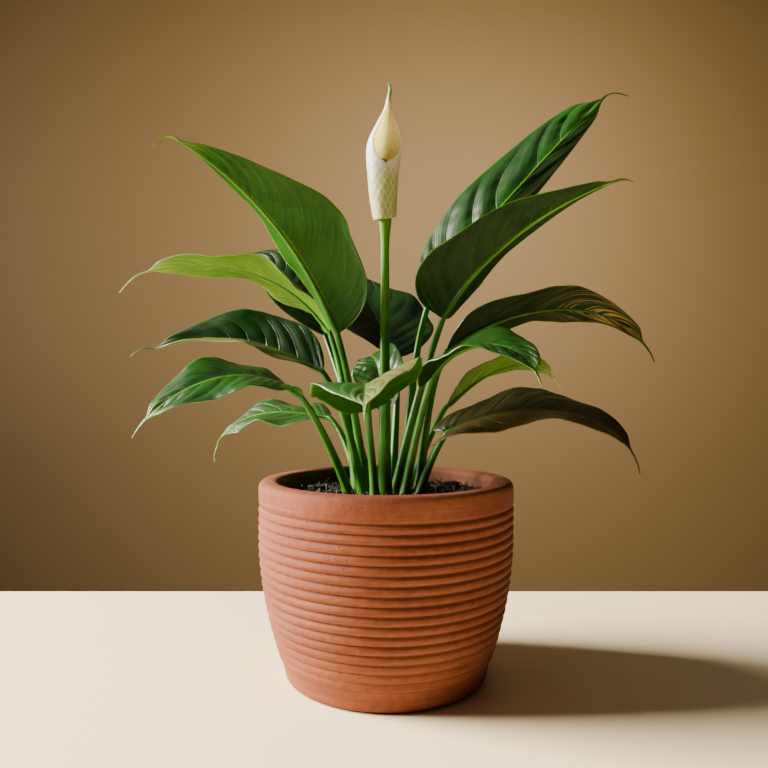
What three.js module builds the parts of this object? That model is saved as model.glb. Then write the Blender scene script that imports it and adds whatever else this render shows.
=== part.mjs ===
// Potted peace lily: a ribbed terracotta pot with potting mix, a crown with fifteen leaves and one flower.
// Millimetres, +Z up. The origin is the middle of the pot's foot, on the surface that it stands on.
import * as THREE from "three";
import { mergeVertices } from "three/addons/utils/BufferGeometryUtils.js";

// ---------- driving dimensions ----------
const FIT_GAP = 0.3; // clearance between pieces that touch
const ROUND_SEGMENTS = 36;

// Pot
const POT_RADIUS = 75; // at the belly and the rim
const POT_HEIGHT = 115;
const POT_WALL = 12;
const POT_FLOOR = 10;
const BELLY_HEIGHT = 85; // above this the wall is upright
const FOOT_DRAW_IN = 17.5; // how far the wall draws in from the belly to the foot
const FOOT_EDGE_RADIUS = 5;
const FOOT_RING_WIDTH = 13;
const FOOT_RECESS = 2;
const DRAIN_HOLE_RADIUS = 7;
const RIM_SQUARENESS = 0.6; // 1 is a round rim, less is flatter on top
const RIM_STEPS = 8; // from the outer side of the rim over to the inner
const RIM_BAND_HEIGHT = 14; // plain band above the ribs
const RIB_PITCH = 5.2;
const RIB_DEPTH = 1.1;
const LOWEST_RIB_HEIGHT = 9;

// Potting mix, crock over the drain hole, crown of the plant
const SOIL_BELOW_RIM = 9.8; // at the wall
const SOIL_DOME = 0.8; // how much higher the mix stands round the plant
const CROCK_RADIUS = 17;
const CROCK_RISE = 8;
const CROCK_WALL = 3.5;
const CROWN_RADIUS = 29;
const CROWN_DEPTH = 34;
const CROWN_BELOW_SOIL = 3;

// Leaves
const BLADE_THICKNESS = 1.2;
const BLADE_END_HALF_WIDTH = 1.8;
const BLADE_WIDEST_AT = 0.36; // share of the blade's length
const BLADE_TIP_TAPER = 1.25; // higher is more drawn out
const BLADE_TIP_SHARE = 0.3; // end width at the tip, as a share of the width at the base
const BLADE_WAVES = 2.5; // along a blade's edge
const BLADE_STEPS = [10, 4]; // along and across
const STALK_FOOT_RADIUS = 3.1;
const STALK_TOP_RADIUS = 1.7;
const STALK_SIDES = 7;
const STALK_TOP_GAP = 0.8; // room for a stalk that meets its blade at an angle
const STALK_FOLLOWS_BLADE = 0.45; // 1 meets the blade in line with it, 0 keeps straight on

// Flower
const SCAPE_FOOT_RADIUS = 5;
const SCAPE_TOP_RADIUS = 2.3;
const SCAPE_COLLAR_RADIUS = 4; // where it flares under the spathe
const SPATHE_LENGTH = 78;
const SPATHE_GIRTH = 46; // flat width of the rolled bract
const SPATHE_FOOT_SHARE = 0.74; // of the girth
const SPATHE_TIP_SHARE = 0.05;
const SPATHE_BELLY_AT = 0.45; // share of the length
const SPATHE_WRAP = 2.25; // radians that each side wraps round the spadix
const SPATHE_WALL = 1.1;
const SPADIX_ROOM = 2.4; // between the spadix and the spathe round it
const SPADIX_LENGTH = 40;
const SPADIX_CLEARANCE = 5; // above the scape's top

// ---------- materials ----------
const finish = (color, roughness) => new THREE.MeshStandardMaterial({ color, roughness, metalness: 0 });
const TERRACOTTA = () => finish(0xbd7854, 0.85);
const SOIL = () => finish(0x2a1d14, 0.95);
const BARK = () => finish(0x4a3423, 0.9);
const CROWN = () => finish(0x6d6a3a, 0.8);
const LEAF = () => finish(0x1f5a24, 0.4);
const STALK = () => finish(0x4d8a2a, 0.5);
const SPATHE = () => finish(0xeae6c4, 0.55);
const SPADIX = () => finish(0xe2c766, 0.7);

// ---------- helpers ----------
const object = new THREE.Group();
const UP = new THREE.Vector3(0, 0, 1);
const vec = (p) => new THREE.Vector3(...p);

function add(name, geometry, material) {
  const mesh = new THREE.Mesh(geometry, material);
  mesh.name = name;
  object.add(mesh);
  return mesh;
}

// A profile of [radius, height] pairs turned about the Z axis. The profile runs anticlockwise, seen with
// radius to the right and height up.
function turned(profile, segments = ROUND_SEGMENTS) {
  const points = profile.map(([r, z]) => new THREE.Vector2(r, z));
  return new THREE.LatheGeometry(points, segments).rotateX(Math.PI / 2);
}

// Moves every vertex of a geometry with place(x, y, z), which gives a new Vector3.
function reshape(geometry, place) {
  for (const name of ["normal", "uv"]) geometry.deleteAttribute(name);
  const merged = mergeVertices(geometry);
  const position = merged.getAttribute("position");
  for (let i = 0; i < position.count; i++) {
    const moved = place(position.getX(i), position.getY(i), position.getZ(i));
    position.setXYZ(i, moved.x, moved.y, moved.z);
  }
  merged.computeVertexNormals();
  return merged;
}

// ---------- pot ----------
const potRadiusAt = (z) => {
  const below = Math.max(0, BELLY_HEIGHT - z) / BELLY_HEIGHT;
  return POT_RADIUS - FOOT_DRAW_IN * below * below;
};
const innerRadiusAt = (z) => potRadiusAt(z) - POT_WALL;

function potProfile() {
  const rimRadius = POT_WALL / 2;
  const rimCentre = POT_HEIGHT - rimRadius;
  const footRadius = potRadiusAt(FOOT_EDGE_RADIUS);
  const profile = [
    [DRAIN_HOLE_RADIUS, FOOT_RECESS],
    [footRadius - FOOT_EDGE_RADIUS - FOOT_RING_WIDTH, FOOT_RECESS],
    [footRadius - FOOT_EDGE_RADIUS - FOOT_RING_WIDTH + FOOT_RECESS, 0],
  ];
  for (const turn of [0, 0.33, 0.67, 1]) {
    const angle = (turn * Math.PI) / 2;
    const out = footRadius - FOOT_EDGE_RADIUS * (1 - Math.sin(angle));
    profile.push([out, FOOT_EDGE_RADIUS * (1 - Math.cos(angle))]);
  }
  const topGroove = POT_HEIGHT - RIM_BAND_HEIGHT;
  const ribs = Math.floor((topGroove - LOWEST_RIB_HEIGHT) / RIB_PITCH);
  for (let rib = ribs; rib > 0; rib--) {
    const groove = topGroove - rib * RIB_PITCH;
    profile.push([potRadiusAt(groove) - RIB_DEPTH, groove]);
    profile.push([potRadiusAt(groove + RIB_PITCH * 0.5), groove + RIB_PITCH * 0.5]);
  }
  profile.push([potRadiusAt(topGroove) - RIB_DEPTH, topGroove]);
  profile.push([POT_RADIUS, topGroove + RIB_PITCH * 0.4]);
  for (let step = 0; step <= RIM_STEPS; step++) {
    const angle = (step / RIM_STEPS) * Math.PI;
    const across = Math.sign(Math.cos(angle)) * Math.abs(Math.cos(angle)) ** RIM_SQUARENESS;
    const up = Math.sin(angle) ** RIM_SQUARENESS;
    profile.push([POT_RADIUS + rimRadius * (across - 1), rimCentre + rimRadius * up]);
  }
  for (const z of innerHeights) profile.push([innerRadiusAt(z), z]);
  profile.push([DRAIN_HOLE_RADIUS, POT_FLOOR]);
  profile.push([DRAIN_HOLE_RADIUS, FOOT_RECESS]);
  return profile;
}

const SOIL_EDGE = POT_HEIGHT - SOIL_BELOW_RIM;
const SOIL_TOP = SOIL_EDGE + SOIL_DOME;
// Heights at which the inner wall turns, from the soil's edge down to the floor.
const innerHeights = [SOIL_EDGE, BELLY_HEIGHT, BELLY_HEIGHT * 0.66, BELLY_HEIGHT * 0.4, POT_FLOOR];

add("pot", turned(potProfile()), TERRACOTTA());

// ---------- crock, potting mix, crown ----------
// A curved shard that lies over the drain hole, hollow side down.
function crockProfile() {
  const profile = [];
  const foot = POT_FLOOR + FIT_GAP;
  const arc = (radius, rise, shares) =>
    shares.map((share) => {
      const angle = (share * Math.PI) / 2;
      return [radius * Math.sin(angle), foot + rise * Math.cos(angle)];
    });
  profile.push(...arc(CROCK_RADIUS - CROCK_WALL, CROCK_RISE - CROCK_WALL, [0, 0.35, 0.7, 1]));
  profile.push(...arc(CROCK_RADIUS, CROCK_RISE, [1, 0.7, 0.35, 0]));
  profile.push(profile[0]);
  return profile;
}
add("drain_crock", turned(crockProfile()), TERRACOTTA());

const CROWN_TOP = SOIL_TOP - CROWN_BELOW_SOIL;
const crownOutline = [
  [0.001, 1],
  [0.45, 0.93],
  [0.8, 0.62],
  [1, 0.25],
  [0.97, 0],
];
const crownPoint = (gap) => ([share, depth]) => [
  share * (CROWN_RADIUS + gap),
  CROWN_TOP - depth * (CROWN_DEPTH + gap),
];

function crownProfile() {
  const side = crownOutline.slice(1).map(crownPoint(0));
  return [[0, CROWN_TOP - CROWN_DEPTH], ...side, [0, CROWN_TOP]];
}
add("root_crown", turned(crownProfile()), CROWN());

function soilProfile() {
  const gap = FIT_GAP;
  const foot = POT_FLOOR + gap;
  const profile = [[0, foot + CROCK_RISE + gap]];
  for (const share of [0.35, 0.7, 1]) {
    const angle = (share * Math.PI) / 2;
    const height = foot + (CROCK_RISE + gap) * Math.cos(angle);
    profile.push([(CROCK_RADIUS + 2 * gap) * Math.sin(angle), share < 1 ? height : foot]);
  }
  for (const z of [...innerHeights].reverse()) {
    const height = Math.max(z, foot);
    profile.push([innerRadiusAt(z) - gap, height]);
  }
  profile.push([(innerRadiusAt(SOIL_EDGE) + CROWN_RADIUS) / 2, SOIL_EDGE + SOIL_DOME * 0.7]);
  profile.push([CROWN_RADIUS + 1.5, SOIL_TOP]);
  profile.push([CROWN_RADIUS + gap, SOIL_TOP - 1]);
  profile.push(...crownOutline.slice(1).reverse().map(crownPoint(2 * gap)));
  profile.push([0, CROWN_TOP - CROWN_DEPTH - 2 * gap]);
  return profile;
}
add("soil", turned(soilProfile()), SOIL());

// ---------- leaves ----------
// Each leaf has
//   foot: where its stalk stands on the crown, [x, y] in shares of the crown's radius
//   rib: the four control points of its midrib, [x, y, height above the mix]
//   faceBase, faceTip: the way its upper side faces at either end
//   fold, roll: how far each half folds up from the midrib, and rolls over from there (radians)
//   wave: how much its edges wave, as a share of the width
//   taper, widest: the drawing-out of its tip, and where along its length it is widest
//   lobe: how far the blade reaches back past its stalk
//   narrow: how much narrower its right half is, as a share
const LEAVES = [
  {
    name: "left_tall",
    foot: [-0.38, 0.0],
    rib: [[-28, -15, 94], [-45, -22, 139], [-75, -38, 177], [-118, -52, 197]],
    width: 72, faceBase: [0.62, 0.68, 0.4], faceTip: [0.2, 0.5, 0.85],
    fold: 0.72, roll: -0.3, wave: 0.03, taper: 1.6, widest: 0.27,
  },
  {
    name: "left_high",
    foot: [-0.59, 0.31],
    rib: [[-36, 34, 98], [-58, 42, 134], [-108, 50, 155], [-171, 54, 137]],
    width: 46, faceBase: [0.2, 0.3, 0.9], faceTip: [0, 0.3, 0.95],
    fold: 0.2, roll: -0.3, wave: 0.04,
  },
  {
    name: "back_left_high",
    foot: [-0.31, 0.43],
    rib: [[-42, 72, 99], [-61, 84, 140], [-87, 98, 166], [-116, 110, 152]],
    width: 46, faceBase: [0.3, -0.8, 0.4], faceTip: [0, -0.7, 0.7],
    fold: 0.2, roll: -0.2, wave: 0.03,
  },
  {
    name: "left_middle",
    foot: [-0.41, -0.4],
    rib: [[-37, -9, 72], [-66, 2, 89], [-100, 4, 102], [-145, 0, 83]],
    width: 43, faceBase: [0.2, -0.6, 0.75], faceTip: [-0.2, -0.6, 0.8],
    fold: 0.7, roll: -0.3, wave: 0.04,
  },
  {
    name: "left_low",
    foot: [-0.71, -0.14],
    rib: [[-47, -32, 58], [-66, -42, 77], [-103, -58, 74], [-126, -70, 41]],
    width: 50, faceBase: [0.3, 0.1, 0.9], faceTip: [-0.6, -0.9, 0.4],
    fold: 0.2, roll: -0.3, wave: 0.05,
  },
  {
    name: "back_left_low",
    foot: [-0.52, 0.64],
    rib: [[-37, 45, 43], [-60, 58, 47], [-112, 74, 54], [-123, 88, 12]],
    width: 44, faceBase: [0, -0.15, 0.95], faceTip: [-0.6, -0.3, 0.6],
    fold: 0.12, roll: -0.2, wave: 0.04,
  },
  {
    name: "front",
    foot: [-0.21, -0.79],
    rib: [[-10, -26, 50], [-8, -48, 68], [-10, -85, 72], [-10, -112, 52]],
    width: 62, faceBase: [-0.25, 0.1, 1], faceTip: [-0.2, -0.5, 0.8],
    fold: 0.3, roll: -0.25, wave: 0.04, lobe: 6,
  },
  {
    name: "centre_small",
    foot: [-0.03, 0.16],
    rib: [[0, 6, 48], [-3, 9, 78], [-9, 24, 90], [-12, 46, 78]],
    width: 34, faceBase: [-0.4, -0.9, 0.2], faceTip: [-0.3, 0, 0.9],
    fold: 0.3, roll: -0.2, wave: 0.03,
  },
  {
    name: "back_high",
    foot: [0.14, 0.59],
    rib: [[6, 48, 82], [-2, 68, 104], [-15, 94, 130], [-30, 116, 149]],
    width: 76, faceBase: [0.4, -0.7, 0.5], faceTip: [0.3, -0.7, 0.6],
    fold: 0.4, roll: -0.3, wave: 0.03,
  },
  {
    name: "right_tall",
    foot: [0.33, 0.16],
    rib: [[27, 14, 117], [46, 18, 148], [100, 24, 210], [147, 30, 249]],
    width: 62, faceBase: [0.25, -0.9, 0.3], faceTip: [0.25, -0.85, 0.4],
    fold: -0.6, roll: -0.3, wave: 0.03, narrow: 0.6, taper: 1,
  },
  {
    name: "right_high",
    foot: [0.16, -0.12],
    rib: [[33, -12, 103], [47, -15, 132], [89, -28, 167], [132, -42, 176]],
    width: 56, faceBase: [-0.5, 0.7, 0.6], faceTip: [-0.2, 0.7, 0.7],
    fold: 0.78, roll: -0.25, wave: 0.04, taper: 1.5, widest: 0.22,
  },
  {
    name: "right_middle",
    foot: [0.66, 0.31],
    rib: [[37, 12, 85], [66, 16, 111], [140, 22, 131], [168, 26, 82]],
    width: 52, faceBase: [-0.2, 0.4, 0.9], faceTip: [0.3, 0.3, 0.9],
    fold: 0.25, roll: -0.3, wave: 0.04,
  },
  {
    name: "right_front",
    foot: [0.33, -0.53],
    rib: [[26, -24, 69], [36, -36, 91], [70, -60, 93], [75, -80, 66]],
    width: 46, faceBase: [-0.2, -0.2, 0.9], faceTip: [0.2, -0.5, 0.8],
    fold: 0.3, roll: -0.3, wave: 0.04, lobe: 12,
  },
  {
    name: "back_right_low",
    foot: [0.48, 0.67],
    rib: [[38, 32, 50], [55, 46, 65], [93, 76, 96], [128, 104, 65]],
    width: 44, faceBase: [-0.2, 0.5, 0.85], faceTip: [0.1, 0.5, 0.85],
    fold: 0.3, roll: -0.25, wave: 0.04,
  },
  {
    name: "right_low",
    foot: [0.62, -0.24],
    rib: [[35, -14, 37], [50, -20, 49], [122, -36, 67], [135, -44, 21]],
    width: 54, faceBase: [-0.1, -0.3, 0.95], faceTip: [0.3, -0.4, 0.85],
    fold: 0.25, roll: -0.3, wave: 0.04, lobe: 16,
  },
];

// Width of a blade along its length, as a share of its widest: rounded at the base, drawn out at the tip.
function ovate(s, { widest = BLADE_WIDEST_AT, taper = BLADE_TIP_TAPER }) {
  const rise = (taper * widest) / (1 - widest);
  return (s / widest) ** rise * ((1 - s) / (1 - widest)) ** taper;
}

// A thin bent sheet: its midrib is a curve, and each half folds up by `fold` and then rolls by `roll`.
// The box that it is bent from has its length along X, its width along Y and its thickness along Z.
function sheet(shape) {
  const { rib, halfWidth, faceBase, faceTip, fold, roll, wave, thickness, along, across } = shape;
  const { lobe = 0, narrow = 0 } = shape;
  const curve = new THREE.CubicBezierCurve3(...rib.map(vec));
  const flat = new THREE.BoxGeometry(1, 1, 1, along, across, 1);
  return reshape(flat, (x, y, z) => {
    const s = x + 0.5;
    const t = y * 2;
    const tangent = curve.getTangent(s);
    const up = vec(faceBase).lerp(vec(faceTip), s);
    up.addScaledVector(tangent, -up.dot(tangent)).normalize();
    const right = up.clone().cross(tangent);
    const half = halfWidth(s) * (t < 0 ? 1 - narrow : 1);
    const turn = fold + roll * Math.abs(t);
    const radius = half / roll;
    const out = roll ? radius * (Math.sin(turn) - Math.sin(fold)) : half * Math.abs(t) * Math.cos(fold);
    const lift = roll ? radius * (Math.cos(fold) - Math.cos(turn)) : half * Math.abs(t) * Math.sin(fold);
    const side = Math.sign(t);
    const ripple = wave * half * 2 * t * t * Math.sin(s * Math.PI * 2 * BLADE_WAVES + side);
    const lean = side * turn;
    return curve
      .getPoint(s)
      .addScaledVector(right, side * out)
      .addScaledVector(tangent, -lobe * t * t * (1 - s) ** 4 * Math.min(1, s * 20))
      .addScaledVector(up, lift + ripple)
      .addScaledVector(up, z * thickness * Math.cos(lean))
      .addScaledVector(right, -z * thickness * Math.sin(lean));
  });
}

// A tapered stem along a curve, with a level foot. radiusAt(s) is its radius from foot to top, and an
// upright stem ends in a level top.
function stem({ points, radiusAt, sides, steps, upright = false }) {
  const curve = new THREE.CubicBezierCurve3(...points.map(vec));
  const round = new THREE.CylinderGeometry(1, 1, 1, sides, steps);
  return reshape(round, (x, y, z) => {
    const s = y + 0.5;
    const tangent = s === 0 || (upright && s === 1) ? UP.clone() : curve.getTangent(s);
    const right = new THREE.Vector3(0, 1, 0).cross(tangent).normalize();
    const front = tangent.clone().cross(right);
    const radius = radiusAt(s);
    return curve
      .getPoint(s)
      .addScaledVector(right, x * radius)
      .addScaledVector(front, -z * radius);
  });
}

const onCrown = ([x, y]) => new THREE.Vector3(x * CROWN_RADIUS, y * CROWN_RADIUS, CROWN_TOP + FIT_GAP);

// Control points of a stalk that leaves the crown steeply and meets the blade along its midrib.
function stalkPoints(foot, base, next) {
  const start = onCrown(foot);
  const along = next.clone().sub(base).normalize();
  const end = base.clone().addScaledVector(along, -STALK_TOP_GAP);
  const length = start.distanceTo(end);
  const straight = end.clone().sub(start).divideScalar(length);
  const low = start.clone().addScaledVector(straight, length * 0.28).addScaledVector(UP, length * 0.08);
  const last = straight.lerp(along, STALK_FOLLOWS_BLADE).normalize();
  const high = end.clone().addScaledVector(last, -length * 0.3);
  return [start, low, high, end].map((p) => p.toArray());
}

const aboveSoil = ([x, y, z]) => [x, y, z + SOIL_TOP];
const [along, across] = BLADE_STEPS;

for (const leaf of LEAVES) {
  const rib = leaf.rib.map(aboveSoil);
  const endHalfWidth = (s) => BLADE_END_HALF_WIDTH * (1 - (1 - BLADE_TIP_SHARE) * s);
  const halfWidth = (s) => Math.max(endHalfWidth(s), (leaf.width / 2) * ovate(s, leaf));
  const blade = sheet({ ...leaf, rib, halfWidth, thickness: BLADE_THICKNESS, along, across });
  add(leaf.name + "_blade", blade, LEAF());
  const radiusAt = (s) => STALK_FOOT_RADIUS + (STALK_TOP_RADIUS - STALK_FOOT_RADIUS) * s ** 0.7;
  const points = stalkPoints(leaf.foot, vec(rib[0]), vec(rib[1]));
  const stalk = stem({ points, radiusAt, sides: STALK_SIDES, steps: 7 });
  add(leaf.name + "_stalk", stalk, STALK());
}

// ---------- flower ----------
const SCAPE_FOOT = [-0.03, -0.45]; // in shares of the crown's radius
const SPATHE_FOOT = [-1, -6, 162]; // middle of the spathe's open foot, above the soil

const spatheFoot = aboveSoil(SPATHE_FOOT);
// Girth of the spathe along its length, as a share of its belly: a cut foot, a belly, a drawn-out horn.
function spatheShape(s) {
  if (s < SPATHE_BELLY_AT) {
    return SPATHE_FOOT_SHARE + (1 - SPATHE_FOOT_SHARE) * Math.sin((Math.PI / 2) * (s / SPATHE_BELLY_AT));
  }
  const past = (s - SPATHE_BELLY_AT) / (1 - SPATHE_BELLY_AT);
  return Math.max(SPATHE_TIP_SHARE, (1 - past * past) ** 1.3);
}
const footTubeRadius = (SPATHE_GIRTH / 2 / SPATHE_WRAP) * spatheShape(0);
const spadixRadius = footTubeRadius - SPATHE_WALL / 2 - SPADIX_ROOM;

function flower() {
  const [x, y, z] = spatheFoot;
  const scapeTop = [x, y, z - FIT_GAP];
  const scapeFoot = onCrown(SCAPE_FOOT);
  const scapePoints = [
    scapeFoot.toArray(),
    [scapeFoot.x, scapeFoot.y + 1, CROWN_TOP + 60],
    [x, y - 1, z - 60],
    scapeTop,
  ];
  const collar = (s) => (SCAPE_COLLAR_RADIUS - SCAPE_TOP_RADIUS) * Math.max(0, (s - 0.93) / 0.07) ** 2;
  const taper = (s) => SCAPE_FOOT_RADIUS + (SCAPE_TOP_RADIUS - SCAPE_FOOT_RADIUS) * s ** 0.4;
  const scapeRadius = (s) => taper(s) + collar(s);
  const scape = stem({ points: scapePoints, radiusAt: scapeRadius, sides: 10, steps: 14, upright: true });
  add("flower_stalk", scape, STALK());

  const back = y + footTubeRadius;
  const rib = [
    [x, back, z],
    [x, back, z + SPATHE_LENGTH * 0.35],
    [x - 4, back + 3, z + SPATHE_LENGTH * 0.7],
    [x + 3, back - 8, z + SPATHE_LENGTH],
  ];
  const spathe = sheet({
    rib,
    halfWidth: (s) => (SPATHE_GIRTH / 2) * spatheShape(s),
    faceBase: [0.1, -1, 0],
    faceTip: [0.3, -1, 0],
    fold: 0,
    roll: SPATHE_WRAP,
    wave: 0,
    thickness: SPATHE_WALL,
    along: 10,
    across: 10,
  });
  add("spathe", spathe, SPATHE());

  const spadixPoints = [0, 0.33, 0.67, 1].map((share) => [
    x + share * 1 - 1,
    y + share * 1.5,
    z + SPADIX_CLEARANCE + share * SPADIX_LENGTH,
  ]);
  const radiusAt = (s) => spadixRadius * (1 - 0.25 * s) * Math.sqrt(1 - (Math.max(0, s - 0.75) / 0.27) ** 2);
  const spadix = stem({ points: spadixPoints, radiusAt, sides: 8, steps: 8, upright: true });
  add("spadix", spadix, SPADIX());
}
flower();

// ---------- bark chips on the potting mix ----------
const soilHeightAt = (r) => {
  const middle = (innerRadiusAt(SOIL_EDGE) + CROWN_RADIUS) / 2;
  const knots = [
    [CROWN_RADIUS + 1.5, SOIL_TOP],
    [middle, SOIL_EDGE + SOIL_DOME * 0.7],
    [innerRadiusAt(SOIL_EDGE) - FIT_GAP, SOIL_EDGE],
  ];
  const [low, high] = r < middle ? knots.slice(0, 2) : knots.slice(1);
  return high[1] + ((low[1] - high[1]) * (high[0] - r)) / (high[0] - low[0]);
};
// Bearing round the pot (degrees), place between the crown (0) and the wall (1), length, width, height,
// and turn (degrees).
const CHIPS = [
  [-75, 0.53, 13, 5, 3, 20],
  [-38, 0.47, 11, 6, 4, -35],
  [-8, 0.44, 14, 5, 3, 75],
  [28, 0.5, 12, 6, 5, 10],
  [66, 0.47, 15, 5, 3, -20],
  [112, 0.53, 12, 6, 4, 40],
  [158, 0.47, 13, 5, 3, 5],
  [-154, 0.5, 11, 6, 3, -50],
  [-112, 0.47, 14, 5, 4, 65],
];
CHIPS.forEach(([bearing, place, length, width, height, turn], index) => {
  const angle = THREE.MathUtils.degToRad(bearing);
  const out = THREE.MathUtils.lerp(CROWN_RADIUS, innerRadiusAt(SOIL_EDGE), place);
  const reach = Math.hypot(length, width) / 2;
  const foot = soilHeightAt(Math.max(CROWN_RADIUS + 1.5, out - reach)) + FIT_GAP;
  const block = new THREE.BoxGeometry(1, 1, 1, 2, 1, 1);
  const chip = reshape(block, (x, y, z) => {
    const taper = 1 - 0.5 * Math.abs(x) - 0.35 * (z + 0.5);
    return new THREE.Vector3(x * length, y * width * taper, (z + 0.5) * height);
  });
  const mesh = add("bark_chip_" + (index + 1), chip, BARK());
  mesh.position.set(out * Math.cos(angle), out * Math.sin(angle), foot);
  mesh.rotation.z = THREE.MathUtils.degToRad(turn);
});

export default object;
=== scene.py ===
"""A potted peace lily: fifteen veined leaves and one flower in a ribbed terracotta pot.

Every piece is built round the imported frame. Sizes inside the classes are in millimetres.
"""

import logging
import math
import random
from dataclasses import dataclass, field, replace
from enum import Enum
from typing import Callable, Sequence

import bmesh
import bpy
from mathutils import Matrix, Vector, noise


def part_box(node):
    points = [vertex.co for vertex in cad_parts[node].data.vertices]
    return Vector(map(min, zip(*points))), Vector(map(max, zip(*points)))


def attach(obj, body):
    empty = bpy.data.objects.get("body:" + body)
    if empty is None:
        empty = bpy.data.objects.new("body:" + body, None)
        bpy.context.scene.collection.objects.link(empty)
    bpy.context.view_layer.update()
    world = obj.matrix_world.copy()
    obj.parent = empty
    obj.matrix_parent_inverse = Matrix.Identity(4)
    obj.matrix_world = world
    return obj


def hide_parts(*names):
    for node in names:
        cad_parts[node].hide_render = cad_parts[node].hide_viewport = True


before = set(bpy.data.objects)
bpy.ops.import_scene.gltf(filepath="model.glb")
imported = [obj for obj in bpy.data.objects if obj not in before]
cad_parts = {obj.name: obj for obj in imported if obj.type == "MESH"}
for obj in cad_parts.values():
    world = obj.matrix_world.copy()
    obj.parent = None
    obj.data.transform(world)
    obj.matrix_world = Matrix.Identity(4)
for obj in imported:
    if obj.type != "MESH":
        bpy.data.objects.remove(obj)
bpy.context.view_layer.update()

logging.basicConfig(level=logging.INFO, format="%(message)s")
log = logging.getLogger("peace_lily")

MM = 0.001
Point = tuple[float, float, float]
Knots = Sequence[tuple[float, float]]
BODY = "root"
SOIL_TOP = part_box("soil")[1].z / MM
POT_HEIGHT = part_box("pot")[1].z / MM
POT_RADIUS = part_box("pot")[1].x / MM
CROWN_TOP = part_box("root_crown")[1].z / MM
CROWN_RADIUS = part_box("root_crown")[1].x / MM


# ---------- shape helpers ----------
def lerp(a: float, b: float, share: float) -> float:
    """Blends two numbers."""
    return a + (b - a) * share


def smooth(low: float, high: float, value: float) -> float:
    """Rises smoothly from 0 at low to 1 at high."""
    share = min(1.0, max(0.0, (value - low) / (high - low)))
    return share * share * (3 - 2 * share)


def through(knots: Knots, at: float) -> float:
    """Reads a smooth curve that passes through (place, value) knots.

    Args:
        knots: Places in rising order, each with its value.
        at: The place to read.
    Returns:
        The value there; the end values hold outside the knots.
    """
    if at <= knots[0][0]:
        return knots[0][1]
    if at >= knots[-1][0]:
        return knots[-1][1]
    k = next(i for i in range(1, len(knots)) if at <= knots[i][0])
    (x0, y0), (x1, y1) = knots[k - 1], knots[k]
    before, after = knots[max(0, k - 2)], knots[min(len(knots) - 1, k + 1)]
    slope0 = (y1 - before[1]) / (x1 - before[0])
    slope1 = (after[1] - y0) / (after[0] - x0)
    u = (at - x0) / (x1 - x0)
    hermite = (2 * u**3 - 3 * u * u + 1) * y0 + (3 * u * u - 2 * u**3) * y1
    return hermite + (x1 - x0) * ((u**3 - 2 * u * u + u) * slope0 + (u**3 - u * u) * slope1)


def bezier(points: Sequence[Vector], s: float) -> Vector:
    """Gives the point at share s of a cubic Bezier curve."""
    a, b, c, d = points
    r = 1 - s
    return a * r**3 + b * (3 * r * r * s) + c * (3 * r * s * s) + d * s**3


def bezier_way(points: Sequence[Vector], s: float) -> Vector:
    """Gives the direction at share s of a cubic Bezier curve."""
    a, b, c, d = points
    r = 1 - s
    return ((b - a) * (r * r) + (c - b) * (2 * r * s) + (d - c) * (s * s)).normalized()


def squared_to(way: Vector, tangent: Vector) -> Vector:
    """Turns a direction square to a tangent."""
    return (way - tangent * way.dot(tangent)).normalized()


def sheet(along: int, across: int, place: Callable[[float, float], Vector]) -> bmesh.types.BMesh:
    """Bends a flat grid, length along X and width along Y, onto a surface.

    Args:
        along: Steps along the sheet.
        across: Steps across it; an even number keeps a row on the middle line.
        place: Gives the point in millimetres at s (0 to 1 along) and t (-1 to 1 across).
    Returns:
        The sheet, with s and t in its "place" UV map.
    """
    bm = bmesh.new()
    bmesh.ops.create_grid(bm, x_segments=along, y_segments=across, size=1.0)
    uv = bm.loops.layers.uv.new("place")
    flat = {v: ((v.co.x + 1) / 2, v.co.y) for v in bm.verts}
    for face in bm.faces:
        for loop in face.loops:
            s, t = flat[loop.vert]
            loop[uv].uv = (s, (t + 1) / 2)
    for v, (s, t) in flat.items():
        v.co = place(s, t) * MM
    return bm


def tube(sides: int, steps: int, place: Callable[[float, float], Vector]) -> bmesh.types.BMesh:
    """Bends a closed cylinder onto a path.

    Args:
        sides: Faces round the tube.
        steps: Rings along it.
        place: Gives the point in millimetres at share s along and at an angle round the tube.
    Returns:
        The tube, with s and the angle's share in its "place" UV map.
    """
    bm = bmesh.new()
    bmesh.ops.create_cone(bm, cap_ends=True, segments=sides, radius1=1, radius2=1, depth=2)
    long_edges = [e for e in bm.edges if abs(e.verts[0].co.z - e.verts[1].co.z) > 1]
    bmesh.ops.subdivide_edges(bm, edges=long_edges, cuts=steps - 1, use_grid_fill=True)
    uv = bm.loops.layers.uv.new("place")
    for face in bm.faces:
        middle = face.calc_center_median()
        turn = math.atan2(middle.y, middle.x)
        for loop in face.loops:
            angle = math.atan2(loop.vert.co.y, loop.vert.co.x)
            angle += math.tau * round((turn - angle) / math.tau)
            loop[uv].uv = ((loop.vert.co.z + 1) / 2, angle / math.tau + 0.5)
    for v in bm.verts:
        v.co = place((v.co.z + 1) / 2, math.atan2(v.co.y, v.co.x)) * MM
    return bm


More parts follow.
